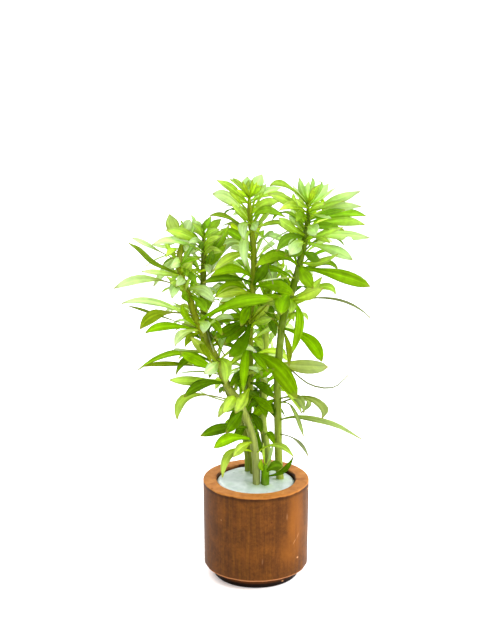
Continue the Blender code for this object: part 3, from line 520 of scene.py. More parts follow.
# %% The leaves that the photograph shows
# (row on the stem, bend, tip, seen width in pixels, true length in mm, tone)
# Lengths below zero run away from the viewer. Tones: L lime, M mid, D dark, P pale, O olive, G grey,
# T thread, S sage, V mint, Y yellow bud; in lower case for a leaf with a long thin stalk.
LEAVES = {
    "front": [
        (238, (174, 228), (169.5, 214), 11, -26, "S"), (238, (187, 228), (189.5, 219.5), 9, -24, "G"),
        (253, (166, 248), (152, 244.5), 3, -30, "p"), (241, (173, 243), (161, 246), 4, -30, "G"),
        (262, (152, 247.5), (132, 238), 4.5, 36, "g"), (277, (150, 262), (128.5, 243), 4.8, 38, "O"),
        (276, (160, 273), (141.5, 271.5), 5, 32, "P"), (291, (150, 279), (113.8, 288.5), 7.5, 48, "p"),
        (286, (175, 287), (172, 298.6), 9, 30, "P"), (300, (179, 286), (167, 277), 6, 30, "L"),
        (290, (203, 290), (214.5, 302), 9.5, 34, "P"), (303, (185, 297), (184, 289), 6, 22, "M"),
        (325, (160, 303.5), (121.4, 303.5), 5.5, 52, "P"), (330, (160, 316), (128.5, 306), 2.5, 46, "o"),
        (316, (160, 313.5), (140, 329), 10, 42, "o"),
        (328, (186, 316), (182, 304), 6, 30, "M"), (331, (168, 326), (145.5, 333), 7, 40, "M"),
        (330, (182, 334), (175, 346), 7.5, 34, "P"), (333, (190, 337), (185, 347), 6, 30, "O"),
        (322, (205, 325), (203.5, 333), 9, 30, "P"), (364, (204, 350), (191, 337), 8, 30, "L"),
        (370, (180, 353), (137.5, 370.5), 5.5, 54, "M"), (373, (200, 362), (180, 352), 9, 36, "M"),
        (372, (180, 364.5), (144, 366.5), 4.5, 50, "o"), (366, (192, 358), (176, 374), 5.5, 40, "D"),
        (380, (195, 381), (169.5, 380), 8, 42, "L"),
        (384, (202, 384), (184, 397), 8.5, 40, "D"), (404, (192, 395.5), (177, 419.5), 7.5, 48, "l"),
        (362, (213, 367), (204, 373.5), 10, 34, "P"),
        (360, (226, 364), (225.5, 384), 9.5, 36, "L"), (397, (231, 401), (223, 413), 10, 34, "L"),
        (428, (224, 428), (200.5, 436), 9, 42, "D"), (410, (236, 420), (226, 433), 10, 36, "D"),
        (440, (230, 438), (214, 448), 10, 38, "M"), (442, (242, 447), (233, 457), 8, 32, "L"),
        (453, (231, 453), (222.5, 477.5), 7, 40, "L"), (455, (275, 445), (293.5, 456.5), 4, 38, "L"),
        (337, (203, 346), (212, 363), 6, 34, "O"), (262, (186, 269), (186, 277), 5.5, 24, "M"),
        (322, (236, 303), (273, 299.6), 10, 54, "M")],
    "left": [
        (240, (192, 230), (174, 227), 3, -34, "O"), (246, (186, 235), (166, 230), 9.5, 39, "L"),
        (254, (190, 241.5), (164, 237.5), 3, 36, "G"), (232, (199, 226), (194.5, 220.5), 6, 20, "P"),
        (232, (206, 225), (211, 216.5), 6, 20, "M"), (236, (212, 227), (221, 219), 7, -28, "M"),
        (252, (212, 241), (226, 229), 8, 30, "L"), (274, (214, 258), (226, 244.5), 8, 34, "M"),
        (250, (201, 246), (204.5, 241), 5, 20, "D"), (248, (196, 250), (187, 254), 5, -30, "G"),
        (265, (195, 256), (185, 243), 3, -34, "G"), (265, (208, 267), (209.5, 274), 6, 26, "P"),
        (264, (193, 273), (185.5, 291), 2.5, 34, "L"), (270, (186, 272), (163, 275.5), 7, 40, "L"),
        (294, (209, 300), (208.5, 310), 7, 30, "M"), (318, (214, 323), (222, 335), 7, 32, "M"),
        (254, (177, 241), (152, 245), 5, 39, "P"), (262, (217, 246), (229, 225), 7, 38, "M"),
        (258, (174, 263), (153.5, 286.5), 8, 42, "P")],
    "centre": [
        (200, (239, 186), (229.5, 179.5), 2.5, 26, "O"), (199, (240, 184), (232.5, 178), 3.5, -26, "O"),
        (196, (247, 187), (247.5, 176.5), 9, -22, "V"), (196, (256, 185), (262, 174.5), 10, -26, "V"),
        (199, (253.5, 190), (257, 182.5), 3.5, 20, "Y"), (205, (233, 189), (217, 180.5), 6.5, 32, "L"),
        (222, (231, 200), (212.5, 194), 10, -40, "P"),
        (202, (265, 192.5), (281, 187.5), 7, -34, "V"), (205, (270, 194.5), (289, 198), 4, 36, "L"),
        (217, (263, 204), (281, 201), 7.5, 34, "L"), (222, (264, 210), (285, 217), 7, 38, "M"),
        (224, (255, 225), (256, 230.5), 9, 26, "P"),
        (230, (244, 243), (245.5, 266), 8, 38, "P"), (224, (243, 226), (244, 240), 8, 32, "P"),
        (236, (230, 218.5), (210, 215.5), 3.5, 40, "O"), (238, (236, 225), (222, 226), 5, -38, "O"),
        (252, (237, 235.5), (221, 229.5), 7, 38, "M"), (254, (236, 245), (223, 247.5), 5, -36, "P"),
        (256, (233, 256), (213, 271.5), 7, 42, "L"), (280, (233, 268.5), (211, 276), 8.5, 44, "M"),
        (284, (228, 278), (203, 283), 6.5, 46, "D"), (294, (232, 284), (214.5, 297.5), 8, 42, "M"),
        (296, (236, 289), (224, 294), 6, -38, "L"), (292, (243, 295), (235, 301), 9, 30, "M"),
        (318, (232, 328), (214, 338), 9, 44, "D"), (288, (275, 285.5), (294, 295), 10, 44, "M"),
        (306, (264, 299), (281, 296), 7, 38, "M"), (320, (236, 317), (219, 322), 7, 38, "M"),
        (306, (246, 312), (241, 326), 9, 34, "M"), (322, (243, 342), (229, 357), 11, 42, "D"),
        (330, (238, 331), (224, 345), 9, 38, "D"), (345, (245, 360), (243, 392), 8, 42, "M"),
        (368, (240, 374), (229, 388), 6, 40, "D"), (340, (259, 341), (263, 350), 7, 30, "L"),
        (352, (257, 358), (268, 372), 6, 34, "M"), (354, (276, 366), (297, 398), 15, 50, "M"),
        (384, (262, 386), (275, 398.5), 8, 38, "D"), (388, (243, 399), (235.5, 413), 10, 40, "L"),
        (322, (260, 313), (269, 305), 8, 32, "L"), (325, (262, 321), (272, 318), 7, 32, "L"),
        (286, (260, 275), (268, 262), 9, 34, "D"), (322, (234, 328), (221, 334), 8, 38, "O"),
        (254, (229, 242), (211, 272), 8, 39, "P"), (295, (234, 291), (216, 297), 9, 39, "L"),
        (296, (266, 306), (273.5, 320), 8, 34, "D")],
    "right": [
        (202, (302, 190), (299.5, 178), 6, 24, "V"), (200, (307.5, 191), (309, 181.5), 6, -20, "V"),
        (204, (313, 193), (320, 184.5), 6, 24, "L"), (206, (319, 195), (328.5, 184), 8, -30, "V"),
        (208, (324, 197), (335, 188), 2.5, 30, "P"), (214, (334, 201), (360, 191.5), 8, 40, "P"),
        (220, (335, 208.5), (361, 206.5), 7, 40, "P"), (224, (340, 214), (366, 216), 6, 42, "M"),
        (228, (338, 221), (365, 225), 8, 42, "L"), (236, (338, 235), (370, 238), 8, 44, "P"),
        (243, (333, 250), (352.5, 260), 9, 38, "P"), (268, (337, 274.5), (370, 286.5), 11, 50, "M"),
        (300, (322, 286.5), (335.5, 294.5), 6, 36, "L"), (266, (305, 276), (313, 288), 11, 32, "M"),
        (303, (335, 299), (370.5, 318), 2.6, 58, "T"), (243, (296, 245), (289.5, 255), 12, 32, "P"),
        (226, (313, 229), (315.5, 236), 11, 30, "P"), (238, (289, 238), (276.5, 251), 9, 38, "D"),
        (252, (311, 256), (320.5, 260.5), 8, 30, "D"), (222, (290, 203), (268, 194), 8, 42, "L"),
        (214, (292, 205), (279, 210.5), 7, 36, "L"),
        (232, (295, 220), (292, 208), 8, -32, "P"), (236, (284, 223), (258, 227.5), 3, 42, "O"),
        (206, (287, 186), (270, 185.5), 4, 40, "O"), (268, (278, 255), (255.5, 266.5), 10, 44, "M"),
        (300, (299.5, 318), (291, 355), 7.5, 44, "M"), (329, (309, 340), (322, 361.5), 11, 44, "M"),
        (363, (309, 367), (328, 367), 12, -44, "S"), (362, (317, 386.5), (348.5, 375), 1.6, 56, "T"),
        (404, (310, 397), (322, 418.5), 5, 46, "S"), (400, (297, 398), (304, 413), 6, 36, "S"),
        (402, (295, 411), (303.5, 436), 3, 38, "S"), (421, (316, 419), (362, 439.5), 5, 60, "S"),
        (434, (296, 440), (308, 456), 2, 36, "T"), (330, (288, 345), (289, 366), 5, 34, "O"),
        (292, (283, 301), (281, 314.5), 13, 36, "M"), (298, (292, 305), (290, 313), 7, 28, "L"),
        (398, (266, 405), (250, 419.5), 8, -26, "M"),
        (240, (322, 234), (343, 227.5), 5.5, 39, "L"), (262, (318, 263), (338, 254), 6, 38, "L"),
        (300, (306, 296), (323, 288), 8.5, 36, "L"), (308, (305, 296), (322, 277), 8, 36, "L"),
        (236, (289, 226), (279, 218), 8, 34, "L")],
    "back": [
        (292, (272, 276), (276, 262), 8, 26, "P"), (292, (262, 278), (266, 260), 10, 30, "L"),
        (300, (283, 282), (286, 264), 4, -30, "P"), (330, (260, 318), (256, 304), 8, 30, "M"),
        (318, (272, 324), (276, 336), 7, 28, "D"), (322, (271, 311), (270, 301), 6, -24, "L"),
        (330, (271, 342), (274, 358), 3, -30, "P"), (352, (260, 360), (262, 376), 7, 32, "L")],
    "sprout": [
        (473, (274, 466), (283, 467), 9, 18, "D"), (476, (283, 471), (293, 457), 5, 26, "D"),
        (467, (263.5, 455), (263.5, 443), 3, -16, "L"), (467, (270, 456), (273, 444), 3.5, -18, "P"),
        (472, (261, 467), (261.5, 459), 5, 12, "M")],
}

# %% [markdown]
# Smaller and thinner leaves fill in between the first ones, such as the young ones in the
# crowns and the ones that show only in part behind others. They are read the same way.

# %% The leaves between them
MORE_LEAVES = {
    "front": [
        (244, (186, 247), (185.5, 251.5), 5, 16, "G"), (352, (182, 350), (177, 350), 2, 30, "G"),
        (250, (172, 250), (166, 257), 5, 26, "L"), (268, (188, 262), (198, 259), 6, 26, "M"),
        (275, (190, 275), (197, 285), 6, 24, "M"), (284, (178, 283), (170, 283), 6, 26, "L"),
        (296, (200, 302), (206, 312), 8, 28, "M"), (266, (178, 262), (170, 268), 8, 24, "P"),
        (272, (186, 268), (192, 262), 8, 24, "L"), (280, (182, 279), (176, 286), 8, 26, "P"),
        (253, (160, 257.5), (146, 266.3), 1.5, -30, "G"), (322, (181, 308), (171.5, 301.5), 2, -34, "L"),
        (376, (195, 371.5), (173, 376), 1.8, -38, "G"), (404, (212, 397), (197, 389), 1.5, -36, "G")],
    "left": [
        (268, (210, 259), (213, 250), 6, 24, "D"), (232, (203.5, 227), (203, 223), 4, 12, "D"),
        (238, (199, 229), (193, 223.5), 5, 22, "L"), (240, (210, 233), (219, 229), 6, 26, "L"),
        (246, (210, 240), (221, 236), 6, 28, "L"), (244, (197, 240), (188, 243), 5, 26, "P"),
        (256, (211, 250), (222, 252), 7, 30, "L"),
        (328, (214, 338), (225, 356), 1.6, 40, "O"), (318, (208, 334), (214, 352), 1.5, 38, "T")],
    "centre": [
        (198, (262, 190), (266, 184), 5, 24, "P"), (225, (240, 213), (231, 204), 3.5, 34, "L"),
        (231, (262, 221), (270, 213), 3.5, 36, "L"), (310, (236, 306), (220.5, 302.5), 4, 34, "O"),
        (196, (246, 190), (243, 182), 4, 18, "Y"), (196, (252, 188), (252, 180), 4, 18, "Y"),
        (198, (257, 191), (262, 186), 4, 20, "Y"), (200, (243, 194), (236, 190), 4, 22, "Y"),
        (204, (240, 200), (230, 196), 6, -26, "L"), (208, (262, 203), (272, 206), 6, -26, "L"),
        (212, (262, 206), (275, 204), 5, -28, "M"), (216, (240, 212), (233, 215), 5, -26, "P"),
        (330, (262, 318), (276, 314), 7, 32, "L"), (318, (264, 305), (277, 304), 6, 32, "L"),
        (400, (262, 404), (266, 418), 8, 26, "M"), (380, (262, 374), (274, 369), 7, 30, "M"),
        (213, (238, 206.5), (223, 206), 2, -30, "G"), (229, (264, 239), (275, 251), 1.5, 30, "G"),
        (322, (259, 313), (267, 305), 1.6, 30, "O"), (312, (269, 316), (279, 329), 1.6, 36, "O"),
        (262, (266, 266), (273, 284), 1.5, 36, "T"),
        (404, (238, 412), (229, 428), 9, 30, "D"), (412, (257, 420), (262, 434), 7, 30, "D"),
        (396, (262, 402), (273, 413), 8, 32, "M"), (424, (240, 431), (233, 441), 7, 28, "D"),
        (390, (240, 400), (227, 412), 8, 34, "M"), (372, (243, 380), (234, 384), 9, 30, "D"),
        (376, (246, 386), (236, 378), 8, -30, "D"), (410, (252, 418), (256, 430), 7, -26, "D"),
        (420, (254, 430), (258, 446), 6, -26, "M")],
    "right": [
        (214, (322, 216), (331, 218.5), 3, 26, "P"), (226, (284, 233), (261, 250), 1.3, 40, "G"),
        (278, (277, 278.5), (262, 281), 1.5, 36, "G"), (212, (326, 206), (344, 201), 5, 34, "L"),
        (222, (325, 214), (345, 210), 5, 32, "M"), (230, (322, 226), (344, 230), 6, 34, "M"),
        (234, (318, 236), (330, 243), 6, 26, "L"), (205, (300, 196), (293, 186), 5, -26, "P"),
        (203, (312, 196), (313, 188), 5, 22, "Y"), (208, (301, 204), (296, 199), 6, 24, "L"),
        (212, (316, 206), (325, 204), 6, 26, "L"), (218, (300, 214), (296, 222), 7, 26, "M"),
        (236, (300, 224), (299, 210), 7, -26, "L"), (226, (302, 216), (300, 205), 6, -24, "M"),
        (230, (318, 223), (330, 219), 6, -30, "L"),
        (252, (298, 251), (285, 256), 9, 30, "D"),
        (232, (295, 218), (285, 213), 1.5, 30, "D"), (326, (289, 319), (294, 311), 1.5, -24, "G"),
        (386, (292, 397), (301, 412), 5, 34, "L"), (398, (307, 400), (301, 413), 3, 28, "S")],
    "back": [
        (420, (256, 425), (250, 437), 7, 30, "D"), (436, (270, 434), (275, 446), 6, 26, "M"),
        (404, (270, 406), (275, 418), 7, 30, "D"), (456, (259, 446), (258.5, 432), 6, 22, "D")],
    "sprout": [],
}
print(sum(len(rows) for rows in LEAVES.values()), "leaves and",
      sum(len(rows) for rows in MORE_LEAVES.values()), "more")

# %% [markdown]
# The far side is not in the photograph. Ludwigia grows its leaves in whorls, rings of leaves
# round a node of the stem, so rings that the picture leaves half empty are completed there.

# %% The leaves of the far side
# (row on the stem, compass angle round it with 90 straight away from the viewer, length in mm)
HIDDEN_LEAVES = {
    "front": [(262, 70, 30), (296, 110, 34), (296, 60, 34), (340, 80, 34), (340, 130, 36), (392, 60, 34)],
    "left": [(250, 120, 30), (250, 60, 32), (276, 90, 36), (276, 140, 36), (306, 110, 40), (306, 60, 38),
             (345, 120, 40), (345, 70, 38)],
    "centre": [(208, 90, 26), (226, 60, 32), (226, 125, 32), (252, 80, 36), (252, 135, 38),
               (284, 60, 38), (284, 115, 40), (330, 120, 38), (366, 100, 36)],
    "right": [(212, 100, 26), (230, 70, 32), (230, 130, 34), (256, 90, 38), (256, 40, 38),
              (290, 70, 40), (290, 120, 38), (336, 60, 38), (386, 80, 36)],
    "back": [(290, 60, 30), (290, 130, 30), (330, 50, 34), (330, 130, 34), (380, 90, 34)],
    "sprout": [],
}

# %% [markdown]
# A blade's middle line is a curve through its bend. Its width follows a lance shape, and the
# surface is a small grid that is laid along the line: folded at the midrib, a little wavy at
# the edges. The grid has only a few dozen faces, because there are hundreds of leaves.

# %% Build one blade
# Shares of a leaf's length, with the width there as a share of the full one
BLUNT_SHAPE = ((0.0, 0.16), (0.15, 0.22), (0.30, 0.42), (0.45, 0.74), (0.60, 0.97), (0.70, 1.0),
               (0.82, 0.92), (0.92, 0.66), (0.98, 0.34), (1.0, 0.08))
ACUTE_SHAPE = ((0.0, 0.17), (0.14, 0.23), (0.28, 0.46), (0.42, 0.80), (0.55, 0.98), (0.62, 1.0),
               (0.76, 0.84), (0.88, 0.48), (0.96, 0.18), (1.0, 0.03))
STALKED_SHAPE = ((0.0, 0.12), (0.30, 0.13), (0.42, 0.36), (0.55, 0.80), (0.68, 1.0), (0.80, 0.90),
                 (0.91, 0.52), (0.97, 0.20), (1.0, 0.04))
BLUNT_FROM, BLUNT_TO = 6.0, 11.0
STALK_WIDTH = 0.8 * MM
TIP_WIDTH = 0.6 * MM
LEAF_PROPORTION = 0.14
THREAD_WIDTH = 1.7
LONG_THREAD = (3.0, 50.0)
LEAF_THICKNESS = 0.35 * MM
BLUR_WIDENING = 0.2
ACROSS, ALONG = 4, 11
BITE_SHARE = 0.06
BITE_DEPTH = 0.75
BITE_DETAIL = 4
FOLD = (0.30, 0.60)
WAVE = (0.02, 0.08)
WAVE_PACE = 11.0
TWIST = 0.25
STALK_FOLD_SHARE = 0.35
BITES = {("right", 236, 44): 0.67}
CURLS = {("right", 362, 56): ((291, 370), (310, 384.5), (333, 387.5), (348.5, 375)),
         ("right", 421, 60): ((287, 418.5), (299, 417.5), (317, 420), (338, 426.5), (362, 439.5)),
         ("right", 404, 46): ((298, 397.5), (313, 399.5), (324.5, 410), (322, 418.5)),
         ("right", 363, -44): ((285, 364.5), (297, 366), (313, 367), (328, 367)),
         ("right", 402, 38): ((289, 404), (295, 413), (300, 426), (303.5, 436)),
         ("front", 277, 38): ((168, 270), (152, 262), (139, 250), (128.5, 243))}


class Blade:
    """A leaf: the points that its middle line bends through, its facing, its width and its shape."""

    def __init__(self, foot, bend, tip, facing, width, blunt=0.5, open_share=1.0):
        self.foot = foot
        self.knee = 2.0 * bend - (foot + tip) / 2.0
        self.tip = tip
        self.facing = facing
        self.width = width
        self.blunt = blunt
        self.open_share = open_share

    def at(self, share):
        """A point of the middle line."""
        rest = 1.0 - share
        return self.foot * rest * rest + self.knee * 2.0 * share * rest + self.tip * share * share

    def heading(self, share):
        """The direction of the middle line."""
        rest = 1.0 - share
        return ((self.knee - self.foot) * rest + (self.tip - self.knee) * share).normalized()


class Curl(Blade):
    """A leaf whose middle line runs through more points than one bend."""

    def __init__(self, points, facing, width, blunt, open_share):
        middle = points[len(points) // 2]
        Blade.__init__(self, points[0], middle, points[-1], facing, width, blunt, open_share)
        self.points = points

    def at(self, share):
        """A point of the middle line."""
        return curve_point(self.points, share)

    def heading(self, share):
        """The direction of the middle line."""
        return (self.at(min(share + 0.02, 1.0)) - self.at(max(share - 0.02, 0.0))).normalized()


def facing_of(foot, bend, tip, seen_width, width):
    """Which way a blade faces: turned from the viewer towards the sky until it looks that wide."""
    heading = (tip - foot).normalized()
    viewer = (EYE - bend).normalized()
    viewer = (viewer - heading * viewer.dot(heading)).normalized()
    sky = heading.cross(viewer)
    if sky.z < 0.0:
        sky = -sky
    turn = math.acos(min(seen_width / width, 1.0))
    return viewer * math.cos(turn) + sky * math.sin(turn)


def photographed_blade(shoot, row, bend_pixel, tip_pixel, wide, long, sway):
    """A leaf from its pixel readings; `sway` moves its tip in depth."""
    foot = shoot.at(shoot.place_of_row(row))
    near = -foot.y
    length = abs(long) * MM
    flat = [seen(*pixel, near) for pixel in (bend_pixel, tip_pixel)]
    shown = (flat[0] - foot).length + (flat[1] - flat[0]).length
    depth = math.sqrt(max(length * length - shown * shown, 0.0))
    depth = math.copysign(depth, long) + sway
    bend = seen(*bend_pixel, near + 0.5 * depth)
    tip = seen(*tip_pixel, near + depth)
    widening = BLUR_WIDENING * min(max((wide - 3.0) / 4.0, 0.0), 1.0)
    seen_width = wide * PIXEL * (1.0 + widening)
    thread = wide < THREAD_WIDTH or (wide < LONG_THREAD[0] and long > LONG_THREAD[1])
    width = seen_width if thread else max(seen_width, LEAF_PROPORTION * length)
    blunt = min(max((wide - BLUNT_FROM) / (BLUNT_TO - BLUNT_FROM), 0.0), 1.0) * shown / length
    facing = facing_of(foot, bend, tip, seen_width, width)
    curl = CURLS.get((shoot.name, row, long))
    if not curl:
        return Blade(foot, bend, tip, facing, width, blunt, seen_width / width)
    points = [foot]
    for i, pixel in enumerate(curl):
        points.append(seen(*pixel, near + depth * (i + 1) / len(curl)))
    return Curl(points, facing, width, blunt, seen_width / width)


def hidden_blade(shoot, row, compass, long, sway):
    """An arching leaf on the far side; `sway` turns it round the stem."""
    foot = shoot.at(shoot.place_of_row(row))
    length = long * MM
    angle = math.radians(compass) + sway / (10.0 * MM)
    out = Vector((math.cos(angle), math.sin(angle), 0.0))
    bend = foot + out * 0.5 * length + Vector((0.0, 0.0, 0.22 * length))
    tip = foot + out * 0.92 * length
    return Blade(foot, bend, tip, Vector((0.0, 0.0, 1.0)), LEAF_PROPORTION * length)


def shape_at(share, shape):
    """The width, as a share of the full one, at a share of the length."""
    for (low, thin), (high, wide) in zip(shape, shape[1:]):
        if share <= high:
            return thin + (wide - thin) * (share - low) / (high - low)
    return shape[-1][1]


def blade_width(share, blade, stalked):
    """The width at a share of the length, from an acute to a blunt shape, or one on a stalk."""
    least = STALK_WIDTH + (TIP_WIDTH - STALK_WIDTH) * share ** 3
    if stalked:
        return max(least, blade.width * shape_at(share, STALKED_SHAPE))
    acute, blunt = shape_at(share, ACUTE_SHAPE), shape_at(share, BLUNT_SHAPE)
    return max(least, blade.width * (acute + (blunt - acute) * blade.blunt))


def grow_blade(shape, blade, tone, chance, stalked=False, bitten=0.0):
    """Lay a small grid along a blade's line, folded and wavy, and write its tone on its corners.

    A bite is a notch in one edge, at a share of the length."""
    made = bmesh.ops.create_grid(shape, x_segments=ACROSS, y_segments=ALONG * (BITE_DETAIL if bitten else 1),
                                 size=0.5, calc_uvs=True)
    fold = chance.uniform(*FOLD) * (0.2 + 0.8 * blade.open_share)
    wave = chance.uniform(*WAVE)
    phase = chance.uniform(0.0, math.tau)
    twist = chance.uniform(-TWIST, TWIST) * blade.open_share ** 2
    for vert in made["verts"]:
        side, share = vert.co.x * 2.0, vert.co.y + 0.5
        share = 0.03 + 0.97 * share
        heading = blade.heading(share)
        up = (blade.facing - heading * blade.facing.dot(heading)).normalized()
        up = Matrix.Rotation(twist * share, 3, heading) @ up
        across = heading.cross(up)
        half = blade_width(share, blade, stalked) / 2.0
        if bitten and side > 0.4:
            half *= 1.0 - BITE_DEPTH * math.exp(-((share - bitten) / BITE_SHARE) ** 4)
        stalk = max(0.0, 1.0 - share / STALK_FOLD_SHARE)
        lift = abs(side) * (fold + stalk) + wave * side * side * math.sin(phase + share * WAVE_PACE)
        vert.co = blade.at(share) + across * side * half + up * (lift - fold * 0.5) * half
    layer = shape.loops.layers.float_color["tone"]
    for face in {face for vert in made["verts"] for face in vert.link_faces}:
        for loop in face.loops:
            loop[layer] = (*tone, 1.0 if stalked else 0.0)


# %% [markdown]
# A leaf that the frame holds as a solid must lie on that solid. In depth the photograph is
# blind, and the solids were moved a little there to keep clear of each other. So each blade
# tries the same small moves and keeps the one that lies nearest to the solids.

# %% Fit the blades to the frame
SWAY_STEP = 1.5 * MM
SWAY_TRIES = 24
SWAY_GAIN = 0.2 * MM
FIT_SHARES = (0.5, 0.7, 0.85, 1.0)


def solids_tree(names):
    """A search tree of the faces of several of the frame's solids."""
    points, faces = [], []
    for name in names:
        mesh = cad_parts[name].data
        start = len(points)
        points += [vert.co.copy() for vert in mesh.vertices]
        faces += [[start + i for i in face.vertices] for face in mesh.polygons]
    return BVHTree.FromPolygons(points, faces)


def fitted(make_blade, tree):
    """The blade, among its possible sways, that lies nearest to the solids, and how far off it is."""
    best = None
    for i in range(SWAY_TRIES * 2 + 1):
        sway = SWAY_STEP * ((i + 1) // 2) * (1 if i % 2 else -1)
        blade = make_blade(sway)
        off = sum(tree.find_nearest(blade.at(share))[3] for share in FIT_SHARES)
        if best is None or off < best[0] - SWAY_GAIN:
            best = (off, blade)
    return best


# %% [markdown]
# Living leaves differ: a young one is lime and an old one dark; one seen against the light gets a pale tone,
# which is painted light.
# The tone of each leaf is stored in the mesh as a colour, varied a little by a seeded chance,
# so one material can paint all of them.

# %% Tones of the leaves
TONES = {"L": "#a2ba34", "M": "#7aa004", "V": "#94b860", "D": "#527402", "P": "#b8cc80", "O": "#6c7e08",
         "G": "#a4b07c", "T": "#686f40", "S": "#80903c", "Y": "#b0c40e"}
YOUNG = "#a4cc40"
YOUNG_SHARE = 0.35


def leaf_tone(letter, chance, youth=0.0):
    """A leaf's colour: its tone, paler in the crown, a little lighter or darker, yellower or bluer."""
    mixed = [a + (b - a) * YOUNG_SHARE * youth for a, b in zip(linear(TONES[letter]), linear(YOUNG))]
    red, green, blue = mixed[:3]
    light = chance.uniform(0.85, 1.12)
    warm = chance.uniform(0.94, 1.05)
    return red * light * warm, green * light, blue * light / warm


# %% [markdown]
# The leaf itself is thin and waxy. Light passes through it, which is what makes it glow, so
# nearly half of the shader lets light through, and a little light of its own stands for what
# scatters between hundreds of leaves. The midrib is paler than the blade, side veins run off
# it at a slant about 2 mm apart, and a long stalk is duller. UV coordinates run across and
# along each blade, so the pattern follows every bend.

# %% Leaf material
def leaf_material():
    """A thin waxy leaf: matt green that glows where light shines through."""
    material, tree, output = new_material("waxy_leaf")
    stored = add_node(tree, "Attribute", attribute_name="tone")
    tone, has_stalk = stored.outputs["Color"], stored.outputs["Alpha"]
    primaries = add_node(tree, "SeparateXYZ", {0: tone})
    flat = add_node(tree, "SeparateXYZ", {0: add_node(tree, "UVMap", uv_map="UVMap").outputs[0]})
    u, v = flat.outputs[0], flat.outputs[1]
    place = add_node(tree, "TexCoord").outputs["Object"]
    from_rib = add_node(tree, "Math", {0: u, 1: 0.5}, operation="SUBTRACT")
    off_rib = add_node(tree, "Math", {0: from_rib.outputs[0]}, operation="ABSOLUTE").outputs[0]
    mottle = add_node(tree, "TexNoise", {"Vector": place, "Scale": 180.0, "Detail": 4.0})
    # Streaks run along the blade, about 1 mm wide, other ones on each leaf
    own = add_node(tree, "Math", {0: primaries.outputs[0], 1: 90.0}, operation="MULTIPLY")
    close = add_node(tree, "Math", {0: u, 1: 7.0}, operation="MULTIPLY")
    lengthwise = add_node(tree, "CombineXYZ", {0: close.outputs[0], 1: v, 2: own.outputs[0]})
    streaks = add_node(tree, "TexNoise", {"Vector": lengthwise.outputs[0], "Scale": 1.0, "Detail": 3.0})

    tints = {}
    for name, source, stops in (
            ("mottle", mottle.outputs[0], ((0.3, 0.82), (0.7, 1.18))),
            ("streak", streaks.outputs[0], ((0.35, 0.78), (0.65, 1.20))),
            # The midrib is lighter than the blade, its edge darker
            ("rib", off_rib, ((0.0, 1.45), (0.04, 1.25), (0.12, 1.06), (0.36, 1.0), (0.5, 0.78))),
            ("foot", v, ((0.08, 0.95), (0.55, 0.0))),
            ("outer", v, ((0.40, 0.0), (0.95, 0.65))),
            ("middle", off_rib, ((0.0, 0.40), (0.28, 0.0))),
            ("dry", v, ((0.90, 0.0), (1.0, 0.60))),
            ("stalk", v, ((0.30, 0.85), (0.48, 0.0)))):
        grey_stops = [(position, grey(value)) for position, value in stops]
        tints[name] = add_node(tree, "ValToRGB", {0: source}, stops=grey_stops).outputs["Color"]
    # Pale leaves, which have some blue in their tone, get a painted sheen: a whitish colour in the outer
    # half and on the rib, standing in for the lamps' reflection
    pale = add_node(tree, "MapRange", {0: primaries.outputs[2], 1: 0.008, 2: 0.12})
    painted_sheen = add_node(tree, "Math", {0: tints["outer"], 1: tints["middle"]}, operation="MAXIMUM")
    painted_sheen = add_node(tree, "Math", {0: painted_sheen.outputs[0], 1: pale.outputs[0]}, operation="MULTIPLY")
    stalk = add_node(tree, "Math", {0: tints["stalk"], 1: has_stalk}, operation="MULTIPLY")
    body = tone
    for blend, share, colour in (
            ("MULTIPLY", 1.0, tints["mottle"]),
            ("MULTIPLY", 1.0, tints["streak"]),
            ("MULTIPLY", 1.0, tints["rib"]),
            # Near its foot a blade is painted a pure yellow green: painted light, standing in for the green
            # light passed on by the leaves around it
            ("MULTIPLY", tints["foot"], (0.90, 0.96, 0.08, 1.0)),
            ("MIX", painted_sheen.outputs[0], linear("#bccea4")),
            # Tips dry out first, to a light brown
            ("MIX", tints["dry"], linear("#8c7c3e")),
            # A long stalk, marked in the tone's alpha, is a dull brownish green
            ("MIX", stalk.outputs[0], linear("#7c7c3c"))):
        body = add_node(tree, "Mix", {0: share, 6: body, 7: colour}, data_type="RGBA",
                        blend_type=blend).outputs[2]
    # Side veins: slanted lines, about 2 mm apart on a 40 mm leaf
    slant = add_node(tree, "Math", {0: off_rib, 1: -0.16, 2: v}, operation="MULTIPLY_ADD")
    pace = add_node(tree, "Math", {0: slant.outputs[0], 1: 120.0}, operation="MULTIPLY")
    veins = add_node(tree, "Math", {0: pace.outputs[0]}, operation="SINE")
    bump = add_node(tree, "Bump", {"Height": veins.outputs[0], "Strength": 0.12, "Distance": 0.15 * MM})
    shader = add_node(tree, "BsdfPrincipled", {"Base Color": body, "Roughness": 0.45,
                                               "Normal": bump.outputs[0], "IOR": 1.45,
                                               "Specular IOR Level": 0.02, "Emission Color": body,
                                               "Emission Strength": 0.35})
    glow = add_node(tree, "Mix", {0: 0.20, 6: body, 7: linear("#b6dc2c")}, data_type="RGBA")
    through = add_node(tree, "BsdfTranslucent", {"Color": glow.outputs[2]})
    both = add_node(tree, "MixShader", {0: 0.42, 1: shader.outputs[0], 2: through.outputs[0]})
    tree.links.new(both.outputs[0], output.inputs[0])
    return material


waxy_leaf = leaf_material()

# %% [markdown]
# Whorls by rule fill the stem between the leaves that were read: rings of four leaves, a
# centimetre or so apart, on the far side, so that the plant is full from everywhere. Each
# leaf has its own length and rise, because equal ones would look like the teeth of a comb.

